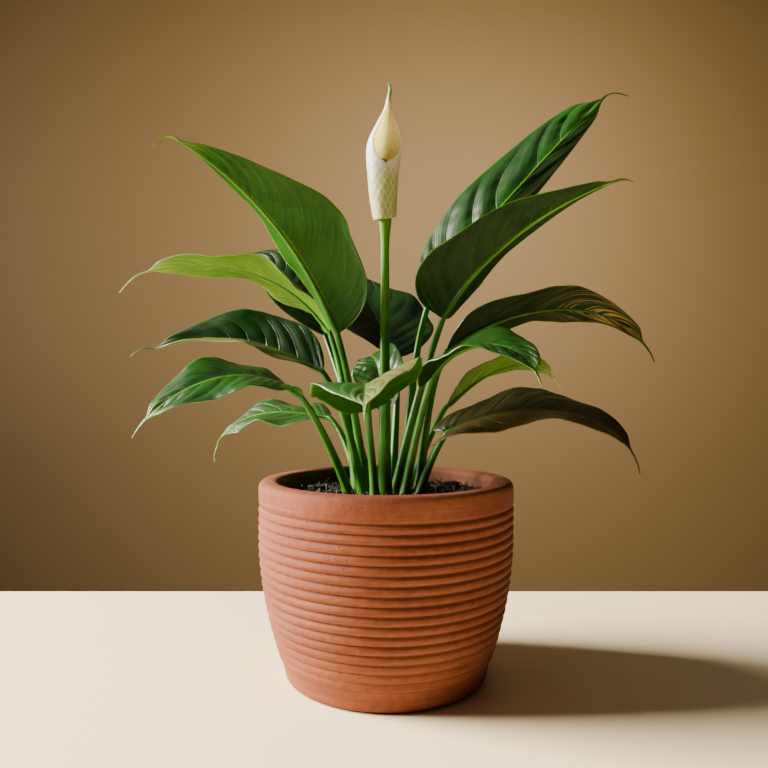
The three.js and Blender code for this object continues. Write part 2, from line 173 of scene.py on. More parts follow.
def turned(outline: Sequence[tuple[float, float]], steps: int) -> bmesh.types.BMesh:
    """Spins an outline of (radius, height) in millimetres round the pot's axis.

    Args:
        outline: Points from the bottom outside to the top, with their first and last joined if apart.
        steps: Faces round the axis.
    Returns:
        The closed solid, facing out.
    """
    bm = bmesh.new()
    ring = [bm.verts.new((r * MM, 0, z * MM)) for r, z in outline]
    edges = [bm.edges.new(pair) for pair in zip(ring, ring[1:])]
    if outline[0][0] > 0 or outline[-1][0] > 0:
        edges.append(bm.edges.new((ring[-1], ring[0])))
    bmesh.ops.spin(bm, geom=ring + edges, axis=(0, 0, 1), cent=(0, 0, 0), angle=math.tau,
                   steps=steps, use_merge=True)
    bmesh.ops.remove_doubles(bm, verts=bm.verts[:], dist=1e-6)
    bmesh.ops.recalc_face_normals(bm, faces=bm.faces[:])
    return bm


def as_piece(bm: bmesh.types.BMesh, name: str, stands_for: Sequence[str],
             materials: Sequence[bpy.types.Material],
             ragged: Callable[[int], bool] | None = None) -> bpy.types.Object:
    """Turns a bmesh into a finished piece of the plant.

    Args:
        bm: The mesh, in metres and in place; it is freed.
        name: The piece's name.
        stands_for: CAD nodes that it replaces.
        materials: Its finishes, in the order of the faces' material indices.
        ragged: Says which material indices keep hard facets.
    Returns:
        The piece, riding on the plant's one body.
    """
    for face in bm.faces:
        face.smooth = not (ragged and ragged(face.material_index))
    mesh = bpy.data.meshes.new(name)
    bm.to_mesh(mesh)
    bm.free()
    for material in materials:
        mesh.materials.append(material)
    piece = bpy.data.objects.new(name, mesh)
    bpy.context.scene.collection.objects.link(piece)
    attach(piece, BODY)
    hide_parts(*stands_for)
    log.info("%s: %d faces, stands for %s", name, len(mesh.polygons), ", ".join(stands_for))
    return piece


def thicken(piece: bpy.types.Object, wall: float) -> None:
    """Gives a sheet its wall on the far side from its normals, with its second material there.

    Args:
        piece: The sheet.
        wall: Thickness in millimetres.
    """
    solid = piece.modifiers.new("wall", "SOLIDIFY")
    solid.thickness = wall * MM
    solid.offset = -1
    solid.use_even_offset = False
    solid.material_offset = 1
    solid.material_offset_rim = 0


# ---------- finishes ----------
def colour(code: str) -> tuple[float, float, float, float]:
    """Turns an sRGB hex code into a linear colour."""
    parts = [int(code[i : i + 2], 16) / 255 for i in (0, 2, 4)]
    linear = [c / 12.92 if c <= 0.04045 else ((c + 0.055) / 1.055) ** 2.4 for c in parts]
    return (*linear, 1.0)


Value = float | bpy.types.NodeSocket
Tint = str | bpy.types.NodeSocket


class Wiring:
    """Short ways to add and join nodes in one node tree."""

    def __init__(self, tree: bpy.types.NodeTree) -> None:
        """Takes the tree to work in."""
        self.tree = tree

    def node(self, kind: str, **settings: object) -> bpy.types.Node:
        """Adds a node and sets its properties."""
        made = self.tree.nodes.new("ShaderNode" + kind)
        for name, value in settings.items():
            setattr(made, name, value)
        return made

    def feed(self, socket: bpy.types.NodeSocket, value: object) -> None:
        """Links a socket's input, or sets it if the value is plain."""
        if isinstance(value, bpy.types.NodeSocket):
            self.tree.links.new(value, socket)
        elif isinstance(value, str):
            socket.default_value = colour(value)
        else:
            socket.default_value = value

    def math(self, operation: str, *values: Value, clamp: bool = False) -> bpy.types.NodeSocket:
        """Works out one sum."""
        made = self.node("Math", operation=operation, use_clamp=clamp)
        for socket, value in zip(made.inputs, values):
            self.feed(socket, value)
        return made.outputs[0]

    def times(self, value: Value, by: Value, plus: Value | None = None) -> bpy.types.NodeSocket:
        """Multiplies two values, and adds a third if it is given."""
        if plus is None:
            return self.math("MULTIPLY", value, by)
        return self.math("MULTIPLY_ADD", value, by, plus)

    def inverse(self, value: Value, clamp: bool = False) -> bpy.types.NodeSocket:
        """Takes a mask from 1."""
        return self.math("SUBTRACT", 1.0, value, clamp=clamp)

    def step(self, value: Value, low: float, high: float) -> bpy.types.NodeSocket:
        """Rises smoothly from 0 at low to 1 at high."""
        made = self.node("MapRange", interpolation_type="SMOOTHSTEP")
        for name, given in (("Value", value), ("From Min", low), ("From Max", high)):
            self.feed(made.inputs[name], given)
        return made.outputs[0]

    def mix(self, share: Value, a: Tint, b: Tint) -> bpy.types.NodeSocket:
        """Mixes two colours."""
        made = self.node("Mix", data_type="RGBA")
        self.feed(made.inputs[0], share)
        self.feed(made.inputs[6], a)
        self.feed(made.inputs[7], b)
        return made.outputs[2]

    def over(self, under: Tint, tint: Tint, mask: Value, share: float | None = None) -> bpy.types.NodeSocket:
        """Lays a colour over another.

        Args:
            under: The colour below.
            tint: The colour to lay on it.
            mask: Where it goes, 0 to 1.
            share: How strongly it covers there; left out, it covers fully.
        Returns:
            The colour that shows.
        """
        return self.mix(mask if share is None else self.times(mask, share), under, tint)

    def part(self, vector: bpy.types.NodeSocket, axis: str) -> bpy.types.NodeSocket:
        """Takes one axis of a vector."""
        made = self.node("SeparateXYZ")
        self.feed(made.inputs[0], vector)
        return made.outputs[axis]

    def vector(self, *parts: Value) -> bpy.types.NodeSocket:
        """Joins up to three values into a vector."""
        made = self.node("CombineXYZ")
        for socket, value in zip(made.inputs, parts):
            self.feed(socket, value)
        return made.outputs[0]

    def noise(self, vector: bpy.types.NodeSocket, scale: Value, detail: float = 3.0) -> bpy.types.NodeSocket:
        """Reads a cloudy pattern, 0 to 1."""
        made = self.node("TexNoise")
        for name, value in (("Vector", vector), ("Scale", scale), ("Detail", detail)):
            self.feed(made.inputs[name], value)
        return made.outputs[0]

    def place(self) -> bpy.types.NodeSocket:
        """Reads Object coordinates, in metres."""
        return self.node("TexCoord").outputs["Object"]

    def map(self, name: str) -> bpy.types.NodeSocket:
        """Reads one of the piece's UV maps."""
        return self.node("UVMap", uv_map=name).outputs[0]

    def shared(self, tree: bpy.types.NodeTree, **inputs: Value) -> bpy.types.Node:
        """Places a shared group with its own values."""
        made = self.node("Group", node_tree=tree)
        for name, value in inputs.items():
            self.feed(made.inputs[name], value)
        return made

    def mottle(self, vector: bpy.types.NodeSocket, scale: float, low: float = 0.3,
               high: float = 0.7) -> bpy.types.NodeSocket:
        """Places the cloudy mottling that every finish uses."""
        return self.shared(SHARED.mottle, Vector=vector, Scale=scale, Low=low, High=high).outputs[0]

    def pits(self, vector: bpy.types.NodeSocket, scale: float, size: float,
             share: float) -> bpy.types.NodeSocket:
        """Places scattered pits or specks."""
        return self.shared(SHARED.pits, Vector=vector, Scale=scale, Size=size, Share=share).outputs[0]


def shared_group(name: str, inputs: Sequence[tuple[str, str, object]],
                 outputs: Sequence[tuple[str, str]]) -> tuple[Wiring, bpy.types.Node, bpy.types.Node]:
    """Starts a shader node group.

    Args:
        name: The group's name.
        inputs: Name, socket kind and default of each input.
        outputs: Name and socket kind of each output.
    Returns:
        The group's wiring, its input node and its output node.
    """
    tree = bpy.data.node_groups.new(name, "ShaderNodeTree")
    for label, kind, default in inputs:
        socket = tree.interface.new_socket(label, in_out="INPUT", socket_type="NodeSocket" + kind)
        if default is not None:
            socket.default_value = default
    for label, kind in outputs:
        tree.interface.new_socket(label, in_out="OUTPUT", socket_type="NodeSocket" + kind)
    return Wiring(tree), tree.nodes.new("NodeGroupInput"), tree.nodes.new("NodeGroupOutput")


def mottle_group() -> bpy.types.NodeTree:
    """Builds the cloudy mottling that every finish uses: a mask between two levels of a noise."""
    wire, given, made = shared_group(
        "mottle",
        [("Vector", "Vector", None), ("Scale", "Float", 30.0), ("Low", "Float", 0.3), ("High", "Float", 0.7)],
        [("Mask", "Float")],
    )
    cloud = wire.noise(given.outputs["Vector"], given.outputs["Scale"], detail=5.0)
    mask = wire.step(cloud, given.outputs["Low"], given.outputs["High"])
    wire.feed(made.inputs["Mask"], mask)
    return wire.tree


def pits_group() -> bpy.types.NodeTree:
    """Builds small scattered pits or specks: a mask that is 1 in each."""
    wire, given, made = shared_group(
        "pits",
        [("Vector", "Vector", None), ("Scale", "Float", 300.0), ("Size", "Float", 0.3),
         ("Share", "Float", 0.5)],
        [("Mask", "Float")],
    )
    cells = wire.node("TexVoronoi")
    wire.feed(cells.inputs["Vector"], given.outputs["Vector"])
    wire.feed(cells.inputs["Scale"], given.outputs["Scale"])
    inside = wire.inverse(wire.step(cells.outputs["Distance"], 0.0, given.outputs["Size"]))
    chosen = wire.math("LESS_THAN", wire.part(cells.outputs["Color"], "X"), given.outputs["Share"])
    wire.feed(made.inputs["Mask"], wire.times(inside, chosen))
    return wire.tree


def veins_group() -> bpy.types.NodeTree:
    """Builds a blade's venation from its two maps.

    Returns:
        A group with the masks of the side veins, the fine veins between them, the streaks that run
        beside them, the midrib and the margin.
    """
    wire, given, made = shared_group(
        "venation",
        [("Vein", "Vector", None), ("Place", "Vector", None), ("Width", "Float", 0.05)],
        [("Main", "Float"), ("Fine", "Float"), ("Streak", "Float"), ("Rib", "Float"), ("Margin", "Float")],
    )
    count = wire.part(given.outputs["Vein"], "X")
    place = given.outputs["Place"]
    out = wire.math("ABSOLUTE", wire.times(wire.part(place, "Y"), 2.0, -1.0))

    def lines(value: bpy.types.NodeSocket, width: Value) -> bpy.types.NodeSocket:
        """Draws a line wherever the value is whole."""
        away = wire.math("PINGPONG", value, 0.5)
        return wire.inverse(wire.step(away, 0.0, width), clamp=True)

    main = lines(count, given.outputs["Width"])
    fade = wire.inverse(wire.step(out, 0.7, 1.0))
    wire.feed(made.inputs["Main"], wire.times(main, wire.times(fade, 0.7, 0.3)))
    wire.feed(made.inputs["Fine"], lines(wire.times(count, 5.0), 0.16))
    along = wire.vector(wire.times(count, 7.0), wire.times(out, 1.2), wire.part(place, "Y"))
    wire.feed(made.inputs["Streak"], wire.noise(along, 1.0, detail=2.0))
    wire.feed(made.inputs["Rib"], wire.inverse(wire.step(out, 0.015, 0.06)))
    wire.feed(made.inputs["Margin"], wire.step(out, 0.95, 0.99))
    return wire.tree


@dataclass(frozen=True)
class Shared:
    """The node groups that several finishes use."""

    mottle: bpy.types.NodeTree = field(default_factory=mottle_group)
    pits: bpy.types.NodeTree = field(default_factory=pits_group)
    veins: bpy.types.NodeTree = field(default_factory=veins_group)


SHARED = Shared()


def dressed(name: str, wire: Wiring, material: bpy.types.Material, base: Tint, rough: Value,
            height: Value | None = None, relief: float = 0.3,
            **constants: float | tuple[float, float, float]) -> bpy.types.Material:
    """Finishes a material with a Principled shader.

    Args:
        name: The material's name.
        wire: The material's wiring.
        material: The material.
        base: Base colour.
        rough: Roughness.
        height: Height of the fine relief, 0 to 1.
        relief: What a height of 1 stands for, in millimetres.
        constants: Other shader sockets, the same all over.
    Returns:
        The material.
    """
    shader = wire.node("BsdfPrincipled")
    wire.feed(shader.inputs["Base Color"], base)
    wire.feed(shader.inputs["Roughness"], rough)
    for label, value in constants.items():
        shader.inputs[label.replace("_", " ")].default_value = value
    if height is not None:
        bump = wire.node("Bump")
        bump.inputs["Distance"].default_value = relief * MM
        wire.feed(bump.inputs["Height"], height)
        wire.feed(shader.inputs["Normal"], bump.outputs[0])
    ends = wire.node("OutputMaterial")
    wire.feed(ends.inputs["Surface"], shader.outputs[0])
    material.name = name
    return material


def blank(name: str) -> tuple[bpy.types.Material, Wiring]:
    """Starts a material with an empty node tree."""
    material = bpy.data.materials.new(name)
    material.use_nodes = True
    material.node_tree.nodes.clear()
    return material, Wiring(material.node_tree)


@dataclass(frozen=True)
class Tinge:
    """A second colour on part of a blade: one half, or its base, or its outer end."""

    tint: str
    half: int = 0
    start: float = -1.0
    end: float = 2.0
    share: float = 0.7

    def mask(self, wire: Wiring, place: bpy.types.NodeSocket) -> bpy.types.NodeSocket:
        """Builds the mask of the tinged part."""
        along = wire.part(place, "X")
        reach = wire.times(wire.step(along, self.start, self.start + 0.25),
                          wire.step(along, self.end, self.end - 0.25))
        if self.half:
            middle = 0.5 + 0.01 * self.half
            side = wire.step(wire.part(place, "Y"), middle, middle + 0.05 * self.half)
            reach = wire.times(reach, side)
        return wire.times(reach, self.share)


@dataclass(frozen=True)
class BladeFinish:
    """One side of a leaf blade: its greens, veins, streaks and gloss.

    streak_from is where along the blade the streaks start. rib_share says how strongly the vein colour covers
    the midrib. margin_share says how strongly it lays a thin pale line along the margin, a painted
    highlight. relief is the height of the veins, less than 0 where they are sunken.
    """

    name: str
    green: str
    shade: str
    vein: str
    streak: str
    tip: str
    streaks: float = 0.3
    streak_from: float = -0.5
    veining: float = 0.6
    vein_width: float = 0.05
    rib_share: float = 0.8
    margin_share: float = 0.45
    relief: float = -0.5
    rough: float = 0.34
    gloss: float = 0.5
    tinge: Tinge | None = None

    def build(self) -> bpy.types.Material:
        """Builds the material."""
        material, wire = blank(self.name)
        place, spot = wire.map("place"), wire.place()
        veins = wire.shared(SHARED.veins, Vein=wire.map("vein"), Place=place, Width=self.vein_width)
        patch = wire.mottle(spot, 45.0)
        speck = wire.mottle(spot, 600.0)
        tint = wire.mix(patch, self.green, self.shade)
        if self.tinge:
            tint = wire.over(tint, self.tinge.tint, self.tinge.mask(wire, place))
        reach = wire.step(wire.part(place, "X"), self.streak_from, self.streak_from + 0.35)
        streak = wire.times(wire.step(veins.outputs["Streak"], 0.5, 0.66),
                           wire.times(reach, self.streaks))
        tint = wire.over(tint, self.streak, streak)
        tint = wire.over(tint, self.vein, speck, 0.08)
        # The margin's share lays a thin pale line along the edge as a painted highlight.
        for part, share in (("Fine", self.veining * 0.25), ("Main", self.veining), ("Rib", self.rib_share),
                            ("Margin", self.margin_share)):
            tint = wire.over(tint, self.vein, veins.outputs[part], share)
        tint = wire.over(tint, self.tip, wire.step(wire.part(place, "X"), 0.74, 0.9))
        height = wire.times(veins.outputs["Main"], self.relief, 0.5)
        height = wire.times(veins.outputs["Fine"], self.relief * 0.2, height)
        height = wire.times(veins.outputs["Streak"], 0.3, height)
        height = wire.times(wire.noise(spot, 900.0), 0.08, height)
        rough = wire.times(patch, 0.1, self.rough - 0.04)
        rough = wire.times(veins.outputs["Streak"], 0.1, rough)
        return dressed(self.name, wire, material, tint, rough, height, 0.35, Specular_IOR_Level=self.gloss)


class Upper(Enum):
    """The upper sides of the blades."""

    DEEP = BladeFinish("leaf_deep", "0b3803", "052402", "2c5a14", "124406", "33600e",
                       rough=0.31, veining=0.14, gloss=0.42)
    FRESH = BladeFinish("leaf_fresh", "0e4006", "082e03", "4a7e2c", "185c0a", "568424",
                        rough=0.28, veining=0.2)
    MISTY = BladeFinish("leaf_misty", "123e0a", "0a3006", "5c8448", "266418", "7ea060",
                        rough=0.32, veining=0.3)
    # Painted shade: a near-black copy of the deep upper side, for the leaf that lies in shade.
    DUSK = BladeFinish("leaf_dusk", "082604", "051a02", "6a5a28", "4a4016", "2c3c0c",
                       rough=0.34, veining=0.35, streaks=0.5)


class Under(Enum):
    """The undersides of the blades, with their veins raised."""

    LEAFY = BladeFinish("leaf_under_leafy", "124c00", "0a3800", "5c8c20", "1c5e00", "6e9a2c",
                        vein_width=0.035, gloss=0.16, relief=0.6, rough=0.36, veining=0.35, streaks=0.4)
    LIME = BladeFinish("leaf_under_lime", "4e7a0e", "3c6808", "90b058", "669020", "9cb464",
                       gloss=0.16, relief=0.8, rough=0.44, veining=0.5, streaks=0.6)
    OLIVE = BladeFinish("leaf_under_olive", "0a3000", "041e00", "4c7616", "1a4600", "44540f",
                        vein_width=0.03, gloss=0.16, relief=0.6, rough=0.38, veining=0.3, streaks=0.35)
    # Painted shade: near-black greens, a shaded copy of the olive underside for the leaves that lie in shade,
    # with tan streaks.
    KHAKI = BladeFinish("leaf_under_khaki", "022200", "011200", "3c5210", "9c8448", "34380c",
                        vein_width=0.035, gloss=0.06, relief=0.6, rough=0.38, veining=0.3,
                        streaks=0.9, streak_from=0.35)


@dataclass(frozen=True)
class StalkFinish:
    """Fresh green stalks, paler in streaks, browner where they leave the mix."""

    name: str = "stalk_green"
    green: str = "226a00"
    shade: str = "144c00"
    pale: str = "5a9420"
    foot: str = "4a5c10"
    rib: str = "5c9020"

    def build(self) -> bpy.types.Material:
        """Builds the material."""
        material, wire = blank(self.name)
        place, spot = wire.map("place"), wire.place()
        along = wire.part(place, "X")
        round_streaks = wire.noise(
            wire.vector(wire.times(along, 3.0), wire.times(wire.part(place, "Y"), 22.0), 0.0), 1.0)
        patch = wire.mottle(spot, 70.0)
        specks = wire.pits(spot, 420.0, 0.3, 0.25)
        tint = wire.mix(patch, self.green, self.shade)
        tint = wire.over(tint, self.pale, wire.step(round_streaks, 0.45, 0.7), 0.4)
        tint = wire.over(tint, self.pale, specks, 0.35)
        low = wire.inverse(wire.step(wire.part(spot, "Z"), CROWN_TOP * MM, (CROWN_TOP + 16) * MM))
        tint = wire.over(tint, self.foot, low, 0.6)
        tint = wire.over(tint, self.rib, wire.step(along, 0.5, 0.9), 0.7)
        height = wire.times(round_streaks, 0.7, wire.times(specks, 0.3))
        rough = wire.times(round_streaks, 0.2, 0.28)
        return dressed(self.name, wire, material, tint, rough, height, 0.3, Specular_IOR_Level=0.3)


class Petiole(Enum):
    """The stalks: most run on into a pale midrib, those of the shaded leaves into a dark one."""

    GREEN = StalkFinish()
    SHADED = StalkFinish(name="stalk_shaded", rib="22380a")


@dataclass(frozen=True)
class TerracottaFinish:
    """Fired clay: mottled, pitted, combed by the wheel, with painted shade in grooves, pits and inside.

    comb_along and comb_up are how fine the wheel's lines are round the pot and up it.
    inner_shade_depth is how far below the rim the painted shade on the inner wall starts.
    """

    name: str = "terracotta"
    clay: str = "7a4026"
    # This darker tone is the clay's own in the mottling and painted shade in the grooves.
    burnt_and_groove_shade: str = "6a301a"
    pale: str = "a4684a"
    inner_shade: str = "58331f"
    pit: str = "5a2a16"
    comb_along: float = 14.0
    comb_up: float = 900.0
    inner_shade_depth: float = 30.0

    def build(self) -> bpy.types.Material:
        """Builds the material."""
        material, wire = blank(self.name)
        spot = wire.place()
        x, y, z = (wire.part(spot, axis) for axis in "XYZ")
        patch = wire.mottle(wire.vector(x, y, wire.times(z, 4.0)), 14.0)
        fine = wire.mottle(spot, 240.0, 0.3, 0.75)
        turned_lines = wire.noise(wire.vector(wire.times(x, self.comb_along), wire.times(y, self.comb_along),
                                              wire.times(z, self.comb_up)), 1.0, detail=4.0)
        pits = wire.pits(spot, 520.0, 0.34, 0.07)
        gaps = wire.pits(spot, 130.0, 0.09, 0.035)
        holes = wire.math("MAXIMUM", pits, gaps)
        count = wire.math("DIVIDE", wire.math("SUBTRACT", z, Pot.top_groove * MM), Pot.rib_pitch * MM)
        groove = wire.step(wire.math("PINGPONG", count, 0.5), 0.22, 0.0)
        ribbed = wire.times(groove, wire.step(z, (Pot.top_groove + 2) * MM, (Pot.top_groove - 1) * MM))
        tint = wire.mix(patch, self.clay, self.burnt_and_groove_shade)
        tint = wire.over(tint, self.pale, fine, 0.2)
        tint = wire.over(tint, self.pale, wire.step(turned_lines, 0.5, 0.75), 0.35)
        # Painted shade: the grooves between the ribs are darkened.
        tint = wire.over(tint, self.burnt_and_groove_shade, ribbed, 0.45)
        radius = wire.math("SQRT", wire.math("ADD", wire.times(x, x), wire.times(y, y)))
        inside = wire.step(radius, (POT_RADIUS - Pot.wall * 0.55) * MM, (POT_RADIUS - Pot.wall) * MM)
        inner_shade_from = POT_HEIGHT - self.inner_shade_depth
        high = wire.step(z, inner_shade_from * MM, (inner_shade_from + 5) * MM)
        # Painted shade: the top of the inner wall, below the rim, is darkened.
        tint = wire.over(tint, self.inner_shade, wire.times(inside, high), 0.8)
        # Painted shade: the pits and gaps are darkened.
        tint = wire.over(tint, self.pit, holes, 0.7)
        height = wire.times(turned_lines, 0.35, wire.times(fine, 0.25))
        height = wire.math("SUBTRACT", height, wire.times(holes, 1.0))
        rough = wire.times(fine, 0.12, 0.74)
        return dressed(self.name, wire, material, tint, rough, height, 0.45, Specular_IOR_Level=0.3)


@dataclass(frozen=True)
class MixFinish:
    """Potting mix and bark: dark, moist, with drier tops."""

    name: str
    dark: str
    light: str
    rough: float = 0.85
    scale: float = 260.0

    def build(self) -> bpy.types.Material:
        """Builds the material."""
        material, wire = blank(self.name)
        spot = wire.place()
        patch = wire.mottle(spot, self.scale, 0.35, 0.75)
        large = wire.mottle(spot, 60.0, 0.4, 0.7)
        grain = wire.noise(spot, 1500.0, detail=4.0)
        tint = wire.mix(wire.times(patch, 0.7), self.dark, self.light)
        tint = wire.over(tint, self.dark, large, 0.5)
        rough = wire.times(patch, 0.12, self.rough - 0.08)
        height = wire.times(grain, 0.6, wire.times(patch, 0.4))
        return dressed(self.name, wire, material, tint, rough, height, 0.4, Specular_IOR_Level=0.35)


@dataclass(frozen=True)
class SpatheFinish:
    """The rolled bract: pale green with a raised net below, cream above, blushed at the margins."""

    name: str
    low: str
    high: str
    blush: str
    net: str
    horn: str
    netted: bool = True
    stipple: float = 0.0

    def build(self) -> bpy.types.Material:
        """Builds the material."""
        material, wire = blank(self.name)
        place, spot = wire.map("place"), wire.place()
        along = wire.part(place, "X")
        turn = wire.part(wire.map("wrap"), "X")
        patch = wire.mottle(spot, 120.0)
        rise = wire.step(wire.times(wire.noise(spot, 90.0), 0.12, along), 0.3, 0.56)
        tint = wire.mix(rise, self.low, self.high)
        tint = wire.over(tint, self.blush, patch, 0.25)
        edge = wire.step(wire.part(place, "Y"), 0.9, 1.0)
        band = wire.times(wire.step(along, 0.3, 0.42), wire.step(along, 0.58, 0.42))
        tint = wire.over(tint, self.blush, wire.math("MAXIMUM", edge, band), 0.5)
        height = wire.times(patch, 0.2)
        if self.netted:
            net = wire.math("MAXIMUM", self.line(wire, turn, along, 1.0), self.line(wire, turn, along, -1.0))
            net = wire.times(net, wire.step(along, 0.44, 0.36))
            tint = wire.over(tint, self.net, net, 0.85)
            height = wire.times(net, 0.8, height)
        if self.stipple:
            dots = wire.pits(spot, 700.0, 0.45, 0.7)
            dots = wire.times(dots, wire.step(along, 0.66, 0.42))
            tint = wire.over(tint, self.net, dots, self.stipple)
            height = wire.times(dots, 0.5, height)
        tint = wire.over(tint, self.horn, wire.step(along, 0.82, 0.93))
        rough = wire.times(patch, 0.12, 0.42)
        return dressed(self.name, wire, material, tint, rough, height, 0.3, Subsurface_Weight=0.9,
                       Subsurface_Scale=0.006, Subsurface_Radius=(1.0, 0.85, 0.55))

    @staticmethod
    def line(wire: Wiring, turn: Value, along: Value, way: float) -> bpy.types.NodeSocket:
        """Draws one family of the net's slanting lines."""
        sway = wire.times(wire.noise(wire.place(), 160.0, detail=1.0), 0.4)
        value = wire.times(turn, Flower.net_turns, wire.times(along, Flower.net_rows * way))
        return wire.inverse(wire.step(wire.math("PINGPONG", wire.math("ADD", value, sway), 0.5), 0.03, 0.11))


# ---------- pot ----------
@dataclass(frozen=True)
class Pot:
    """The thrown pot: a thick rounded rim, a plain band, rounded ribs, a foot ring and a drain hole.

    draw_in is how far the wall draws in from the belly to the foot. rim_squareness is 1 for a round rim,
    less for one that is flatter on top. throw_mark is how far the hand-thrown wall strays.
    """

    radius: float = POT_RADIUS
    height: float = POT_HEIGHT
    wall: float = 12.0
    floor: float = 10.0
    floor_corner: float = 4.0
    inner_heights: tuple[float, ...] = (104.0, 96.0, 85.0, 56.0, 34.0, 18.0)
    belly_height: float = 85.0
    draw_in: float = 17.5
    foot_edge: float = 5.0
    foot_ring: float = 13.0
    foot_recess: float = 2.0
    drain_hole: float = 7.0
    hole_edge: float = 0.8
    rib_pitch: float = 5.2
    rib_depth: float = 1.9
    rib_fullness: float = 0.6
    rim_squareness: float = 0.6
    top_groove: float = POT_HEIGHT - 14.0
    lowest_rib: float = 9.0
    throw_mark: float = 0.16
    steps: int = 216
    points_per_rib: int = 7
    foot_steps: int = 6
    rim_steps: int = 24

    def radius_at(self, z: float) -> float:
        """Outer radius at a height, at the top of a rib."""
        below = max(0.0, self.belly_height - z) / self.belly_height
        return self.radius - self.draw_in * below * below

    def outline(self) -> list[tuple[float, float]]:
        """Gives the pot's section from the drain hole, out round the foot and up to the floor."""
        foot = self.radius_at(self.foot_edge)
        inner = foot - self.foot_edge - self.foot_ring
        hole = self.drain_hole + self.hole_edge
        points = [(hole, self.foot_recess), (inner, self.foot_recess),
                  (inner + self.foot_recess * 0.4, self.foot_recess * 0.8), (inner + self.foot_recess, 0.0)]
        for step in range(self.foot_steps + 1):
            angle = step / self.foot_steps * math.pi / 2
            rise = self.foot_edge * (1 - math.cos(angle))
            points.append((foot - self.foot_edge * (1 - math.sin(angle)), rise))
        ribs = math.floor((self.top_groove - self.lowest_rib) / self.rib_pitch)
        start = self.top_groove - ribs * self.rib_pitch
        for step in range(ribs * self.points_per_rib + 1):
            z = start + step / self.points_per_rib * self.rib_pitch
            hollow = 1 - abs(math.sin(math.pi * step / self.points_per_rib)) ** self.rib_fullness
            faint = 0.35 + 0.65 * smooth(0, 5, step / self.points_per_rib)
            points.append((self.radius_at(z) - self.rib_depth * hollow * faint, z))
        points += [(self.radius - 0.5, self.top_groove + 0.9), (self.radius - 0.15, self.top_groove + 2.2)]
        rim = self.wall / 2
        middle = self.height - rim
        for step in range(self.rim_steps + 1):
            angle = step / self.rim_steps * math.pi
            out = math.copysign(abs(math.cos(angle)) ** self.rim_squareness, math.cos(angle))
            up = abs(math.sin(angle)) ** self.rim_squareness
            points.append((self.radius + rim * (out - 1), middle + rim * up))
        points += [(self.radius_at(z) - self.wall, z) for z in self.inner_heights]
        corner = self.radius_at(self.floor) - self.wall - self.floor_corner
        points += [(corner, self.floor), (hole, self.floor)]
        points += [(self.drain_hole, self.floor - 1), (self.drain_hole, self.foot_recess + 1)]
        return points

    def build(self) -> bpy.types.Object:
        """Builds the pot with the small unevenness of hand throwing."""
        bm = turned(self.outline(), self.steps)
        for v in bm.verts:
            swell = noise.noise(Vector((v.co.x * 9, v.co.y * 9, v.co.z * 90)))
            swell += 0.3 * noise.noise(Vector((v.co.x * 25, v.co.y * 25, v.co.z * 40)) + Vector((7, 3, 1)))
            out = Vector((v.co.x, v.co.y, 0)).normalized()
            if v.co.z > self.foot_edge * MM:
                v.co -= out * (self.throw_mark * MM * (1 + swell))
        return as_piece(bm, "thrown_pot", ["pot"], [TerracottaFinish().build()])


